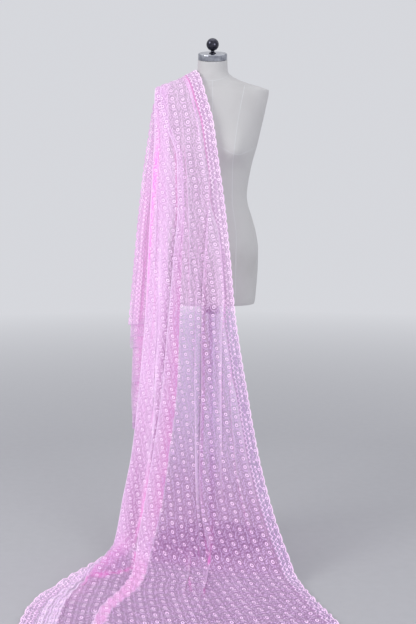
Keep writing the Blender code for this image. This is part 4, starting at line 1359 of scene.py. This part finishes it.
def net_finish(name, through, sprigs, shaded=None):
    """Sheer knitted net: fine threads round small open cells, strewn with tiny stitched leaves, with a
    painted glow from its emission and the painted light and shade of the marks.

    Without a number for how much painted shade it has, it gets painted shade round the flowers.
    """
    net = Finish(name, Roughness=0.62, Specular_IOR_Level=0.25, Sheen_Weight=0.25, Sheen_Roughness=0.4)
    net.set("Emission Strength", 1.0)
    where = net.node("UVMap", {"uv_map": "cloth"}, {})
    cells = {"Vector": where, "Scale": NET_CELLS, "Randomness": 0.35}
    edges = net.node("TexVoronoi", {"feature": "DISTANCE_TO_EDGE", "voronoi_dimensions": "2D"}, cells)
    threads = net.ranged(edges, 0.05, 0.20, 1.0, 0.0)
    sown = {"Vector": where, "Scale": NET_LEAVES, "Randomness": 0.85}
    middles = net.node("TexVoronoi", {"voronoi_dimensions": "2D"}, sown)
    leaves = net.ranged(middles, sprigs, sprigs + LEAF_SOFTNESS, 1.0, 0.0)
    uneven = net.ranged(net.noise(where, NET_PATCHES), 0.3, 0.7)
    # The painted marks: highlight where the net is also doubled, glow, shade, shade on free net, and light
    # behind.
    pale, glow, deep, free, behind = [net.amount(mark) for mark in MARKS]

    held = net.mixed(uneven, NET_DEEP, NET_PALE)
    ground = net.mixed(free, held, net.mixed(uneven, NET_FREE_DEEP, NET_FREE))
    ground = net.mixed(leaves, ground, net.mixed(free, THREAD_DEEP, THREAD_FREE_DEEP))
    if shaded is None:
        shaded = shade_round_flowers(net, where) * (1 - behind)
    ground = net.mixed(shaded, ground, net.mixed(free, NET_SHADE, NET_FREE_SHADE))
    ground = net.mixed(behind * 0.8, ground, NET_HIGHLIGHT)
    ground = net.mixed(deep * 0.9, ground, NET_DEEP_SHADE)
    ground = net.mixed(glow, ground, NET_GLOWING)
    net.set("Base Color", net.mixed(pale, ground, NET_HIGHLIGHT))

    # A painted glow from the emission: more on the net behind, in the glow marks and on highlights, less on
    # free net and in shade.
    lit = net.mixed(behind, net.mixed(free, NET_LIT, NET_LIT_FREE), NET_LIT_BEHIND)
    lit = net.mixed(deep, lit, NET_LIT_FREE)
    lit = net.mixed(glow, lit, NET_LIT_THROUGH)
    net.set("Emission Color", net.mixed(pale * 0.7, lit, NET_LIT_HIGHLIGHT))

    opened = net.ranged(threads, 0.0, 1.0, through + 0.13, through - 0.17)
    opened = opened * (1 - leaves * 0.35) * (1 - pale * 0.6) * (1 - deep * 0.35)
    face_on = net.node("Math", {"operation": "MAXIMUM"}, {0: net.amount("face_on"), 1: EDGE_ON})
    net.set("Alpha", 1 - opened ** (1 / face_on))
    net.bumped(threads, 0.35)
    return net.material


def thread_finish(name, brighter):
    """Satin embroidery thread, in stitches that catch the light, with a painted glow from its emission."""
    thread = Finish(name, Specular_IOR_Level=0.4, Sheen_Weight=0.35, Sheen_Roughness=0.35)
    # Painted shade over free net, and a painted glow that is stronger on the net behind.
    free = thread.amount("free")
    minor = thread.amount("minor") * 0.65
    lit = thread.mixed(free, THREAD_LIT, THREAD_LIT_FREE)
    lit = thread.mixed(minor, lit, thread.mixed(free, NET_LIT, NET_LIT_FREE))
    thread.set("Emission Color", thread.mixed(thread.amount("behind"), lit, THREAD_LIT_BEHIND))
    # brighter makes the painted glow stronger.
    thread.set("Emission Strength", 1.0 + brighter)
    where = thread.place()
    stitches = thread.noise(where, THREAD_STITCHES)
    share = thread.ranged(stitches * 0.5 + thread.noise(where, THREAD_PATCHES) * 0.5, 0.35, 0.62)
    colours = thread.mixed(share, THREAD_DEEP, THREAD_PALE)
    colours = thread.mixed(free, colours, thread.mixed(share, THREAD_FREE_DEEP, THREAD_FREE))
    thread.set("Base Color", thread.mixed(minor, colours, thread.mixed(free, NET_PALE, NET_FREE)))
    thread.set("Roughness", thread.ranged(stitches, 0.3, 0.7, 0.40, 0.56))
    thread.bumped(stitches, 0.4)
    return thread.material


def canvas_finish():
    """Off-white canvas: a close plain weave, a little soiled."""
    canvas = Finish("canvas", Specular_IOR_Level=0.2, Sheen_Weight=0.15)
    where = canvas.place()
    threads = {"Vector": where, "Scale": CANVAS_WEAVE, "Distortion": 1.5, "Detail": 1.0}
    weft, warp = [canvas.node("TexWave", {"bands_direction": way}, threads) for way in "ZX"]
    weave = weft * 0.5 + warp * 0.5
    soil = canvas.noise(where, CANVAS_SOIL, 3.0)
    clean = canvas.mixed(canvas.ranged(weave, 0.2, 0.8), CANVAS_DEEP, CANVAS_PALE)
    stained = canvas.mixed(canvas.ranged(soil, 0.52, 0.78, 0.0, 0.5), clean, CANVAS_SOILED)
    canvas.set("Base Color", stained)
    canvas.set("Roughness", canvas.ranged(soil, 0.3, 0.7, 0.80, 0.92))
    canvas.bumped(weave, 0.25, 0.0004)
    return canvas.material


def seam_finish():
    """The stitched tape along the body's seams."""
    seam = Finish("seam_tape", Roughness=0.8)
    inputs = {"Vector": seam.place(), "Scale": SEAM_STITCHES}
    stitches = seam.node("TexWave", {"bands_direction": "Z"}, inputs)
    seam.set("Base Color", seam.mixed(seam.ranged(stitches, 0.3, 0.8), SEAM_DEEP, SEAM_PALE))
    seam.bumped(stitches, 0.3)
    return seam.material


def chrome_finish(name, dark, light, grain, smooth=0.08, dull=0.20):
    """Polished metal with faint wipe marks."""
    chrome = Finish(name, Metallic=1.0)
    marks = chrome.noise(chrome.place(), grain, 3.0)
    chrome.set("Base Color", chrome.mixed(chrome.ranged(marks, 0.35, 0.65), dark, light))
    chrome.set("Roughness", chrome.ranged(marks, 0.3, 0.7, smooth, dull))
    return chrome.material


def enamel_finish(name, black):
    """Satin black enamel, dusty and a little worn."""
    enamel = Finish(name)
    where = enamel.place()
    dust = enamel.noise(where, ENAMEL_DUST, 4.0)
    enamel.set("Base Color", enamel.mixed(enamel.ranged(dust, 0.45, 0.75, 0.0, 0.35), black, ENAMEL_DUSTY))
    enamel.set("Roughness", enamel.ranged(dust, 0.35, 0.7, 0.30, 0.50))
    enamel.bumped(enamel.noise(where, ENAMEL_GRAIN), 0.08)
    return enamel.material


# ---------------------------------------------------------------- studio

LENS = 66
SENSOR = 36
CAMERA_PLACE = (-0.015, -3.80, 1.25)
CAMERA_TILT = 83

BACKDROP = shade(0.84, 0.845, 0.865)
FADE_FROM = 1.6
FADE_TO = 6.5
FLOOR_PALE = shade(0.73, 0.73, 0.745)
FLOOR_DEEP = shade(0.705, 0.705, 0.72)
FLOOR_REACH = 40.0
FLOOR_LEVEL = -0.0004

LIGHTS = (
    # name, place, aim, size, power, colour
    ("key", (-3.3, -2.6, 2.8), (-0.1, 0, 1.0), (1.8, 2.2), 78, (1.0, 0.99, 0.98)),
    ("fill", (2.6, -4.6, 1.9), (0.0, 0, 0.9), (2.4, 2.6), 76, (0.97, 0.98, 1.0)),
    ("top", (0.0, 0.6, 3.6), (0.0, 0, 1.0), (2.0, 2.0), 10, (1.0, 1.0, 1.0)),
)


def floor_finish():
    """A pale matt floor that runs into the plain backdrop with distance."""
    floor = Finish("studio_floor", Roughness=0.8, Specular_IOR_Level=0.15)
    where = floor.place()
    floor.set("Base Color", floor.mixed(floor.noise(where, 30.0, 3.0), FLOOR_DEEP, FLOOR_PALE))
    distance = floor.node("VectorMath", {"operation": "LENGTH"}, {0: where}, output=1)
    far = floor.ranged(distance, FADE_FROM, FADE_TO)
    glow = floor.node("Emission", {}, {"Color": BACKDROP, "Strength": 1.0})
    body = Amount(floor, floor.shader.outputs[0])
    blend = floor.node("MixShader", {}, {0: far, 1: body, 2: glow})
    floor.feed(floor.nodes["Material Output"].inputs[0], blend)
    return floor.material


def make_floor():
    """The studio's floor, just under the base plate."""
    ways = ((-1, -1), (1, -1), (1, 1), (-1, 1))
    corners = [(x * FLOOR_REACH, y * FLOOR_REACH, FLOOR_LEVEL) for x, y in ways]
    floor = as_piece("studio_floor", corners, [(0, 1, 2, 3)], smooth=False)
    floor.data.materials.append(floor_finish())


def add_light(name, where, aim, size, power, colour):
    """A soft light that points at aim."""
    lamp = bpy.data.lights.new(name, "AREA")
    lamp.shape = "RECTANGLE"
    lamp.size, lamp.size_y = size
    lamp.energy = power
    lamp.color = colour
    light = bpy.data.objects.new(name, lamp)
    light.location = where
    light.rotation_euler = (Vector(aim) - Vector(where)).to_track_quat("-Z", "Y").to_euler()
    bpy.context.scene.collection.objects.link(light)


def light_studio():
    """Even daylight all round, and three soft lights."""
    world = bpy.data.worlds.new("studio")
    world.use_nodes = True
    background = world.node_tree.nodes["Background"]
    background.inputs["Color"].default_value = BACKDROP
    background.inputs["Strength"].default_value = 1.0
    bpy.context.scene.world = world
    for row in LIGHTS:
        add_light(*row)


def set_camera():
    """A camera at chest height in front, tilted a little down."""
    lens = bpy.data.cameras.new("camera")
    lens.lens = LENS
    lens.sensor_width = SENSOR
    camera = bpy.data.objects.new("camera", lens)
    camera.location = CAMERA_PLACE
    camera.rotation_euler = (math.radians(CAMERA_TILT), 0, 0)
    bpy.context.scene.collection.objects.link(camera)
    bpy.context.scene.camera = camera


# ---------------------------------------------------------------- putting it together

BORDER_NODES = ("back", "front", "train")


def dress(piece, finish):
    """Gives a new piece its finish and its place on the object."""
    piece.data.materials.append(finish)
    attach(piece, "root")


def make_stole():
    """The stole: its net field with the flowers and hems, and its two borders."""
    cloth = make_cloth()
    neck = Side(cloth, False)
    arm = Side(cloth, True)
    across = across_lengths(cloth["points"])
    inner_neck = across[:, BORDER_STEPS]
    inner_arm = arm.widths - across[:, -BORDER_STEPS - 1]

    net = net_finish("pink_net", 0.57, 0.22)
    # The border's net has painted shade all over.
    border_net = net_finish("border_net", 0.48, 0.10, 0.42)
    hem_net = net_finish("hem_net", 0.52, 0.10)
    thread = thread_finish("pink_thread", 0.0)
    # The border's thread has a stronger painted glow.
    border_thread = thread_finish("border_thread", 0.5)

    field = make_field(cloth)
    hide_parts("stole_back", "stole_front", "stole_train")
    dress(field, net)
    flowers = make_embroidery(cloth, neck, arm)
    for piece in flowers:
        dress(piece, thread)
    hems = make_hems(cloth)
    dress(hems, hem_net)

    motif = border_motif()
    hands = (("right", neck, inner_neck, motif), ("left", arm, inner_arm, both_faces(motif)))
    for hand, side, inner, shape in hands:
        nodes = [f"border_{hand}_{place}" for place in BORDER_NODES]
        strip = make_border(side, f"border_{hand}", nodes, inner)
        dress(strip, border_net)
        work = make_border_work(side, f"border_{hand}_work", shape)
        dress(work, border_thread)


def finish_form():
    """The canvas body with its seams, and the finishes of the other pieces."""
    body = make_body()
    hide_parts("form_torso")
    dress(body, canvas_finish())
    dress(make_seams(), seam_finish())
    finishes = {
        "form_neck_cap": chrome_finish("cap_chrome", CAP_DARK, CAP_LIGHT, 60.0),
        "form_finial": chrome_finish("ball_chrome", BALL_DARK, BALL_LIGHT, 60.0),
        "stand_pole": chrome_finish("pole_steel", STEEL_DARK, STEEL_LIGHT, 90.0, 0.40, 0.50),
        "stand_collar": enamel_finish("collar_enamel", ENAMEL),
        "stand_knob": enamel_finish("knob_enamel", KNOB_ENAMEL),
        "stand_base": enamel_finish("base_enamel", ENAMEL),
    }
    for name, finish in finishes.items():
        bpy.data.objects[name].data.materials[0] = finish


set_camera()
make_floor()
light_studio()
make_stole()
finish_form()
bpy.context.scene.view_settings.view_transform = "Standard"
bpy.context.scene.cycles.transparent_max_bounces = 48
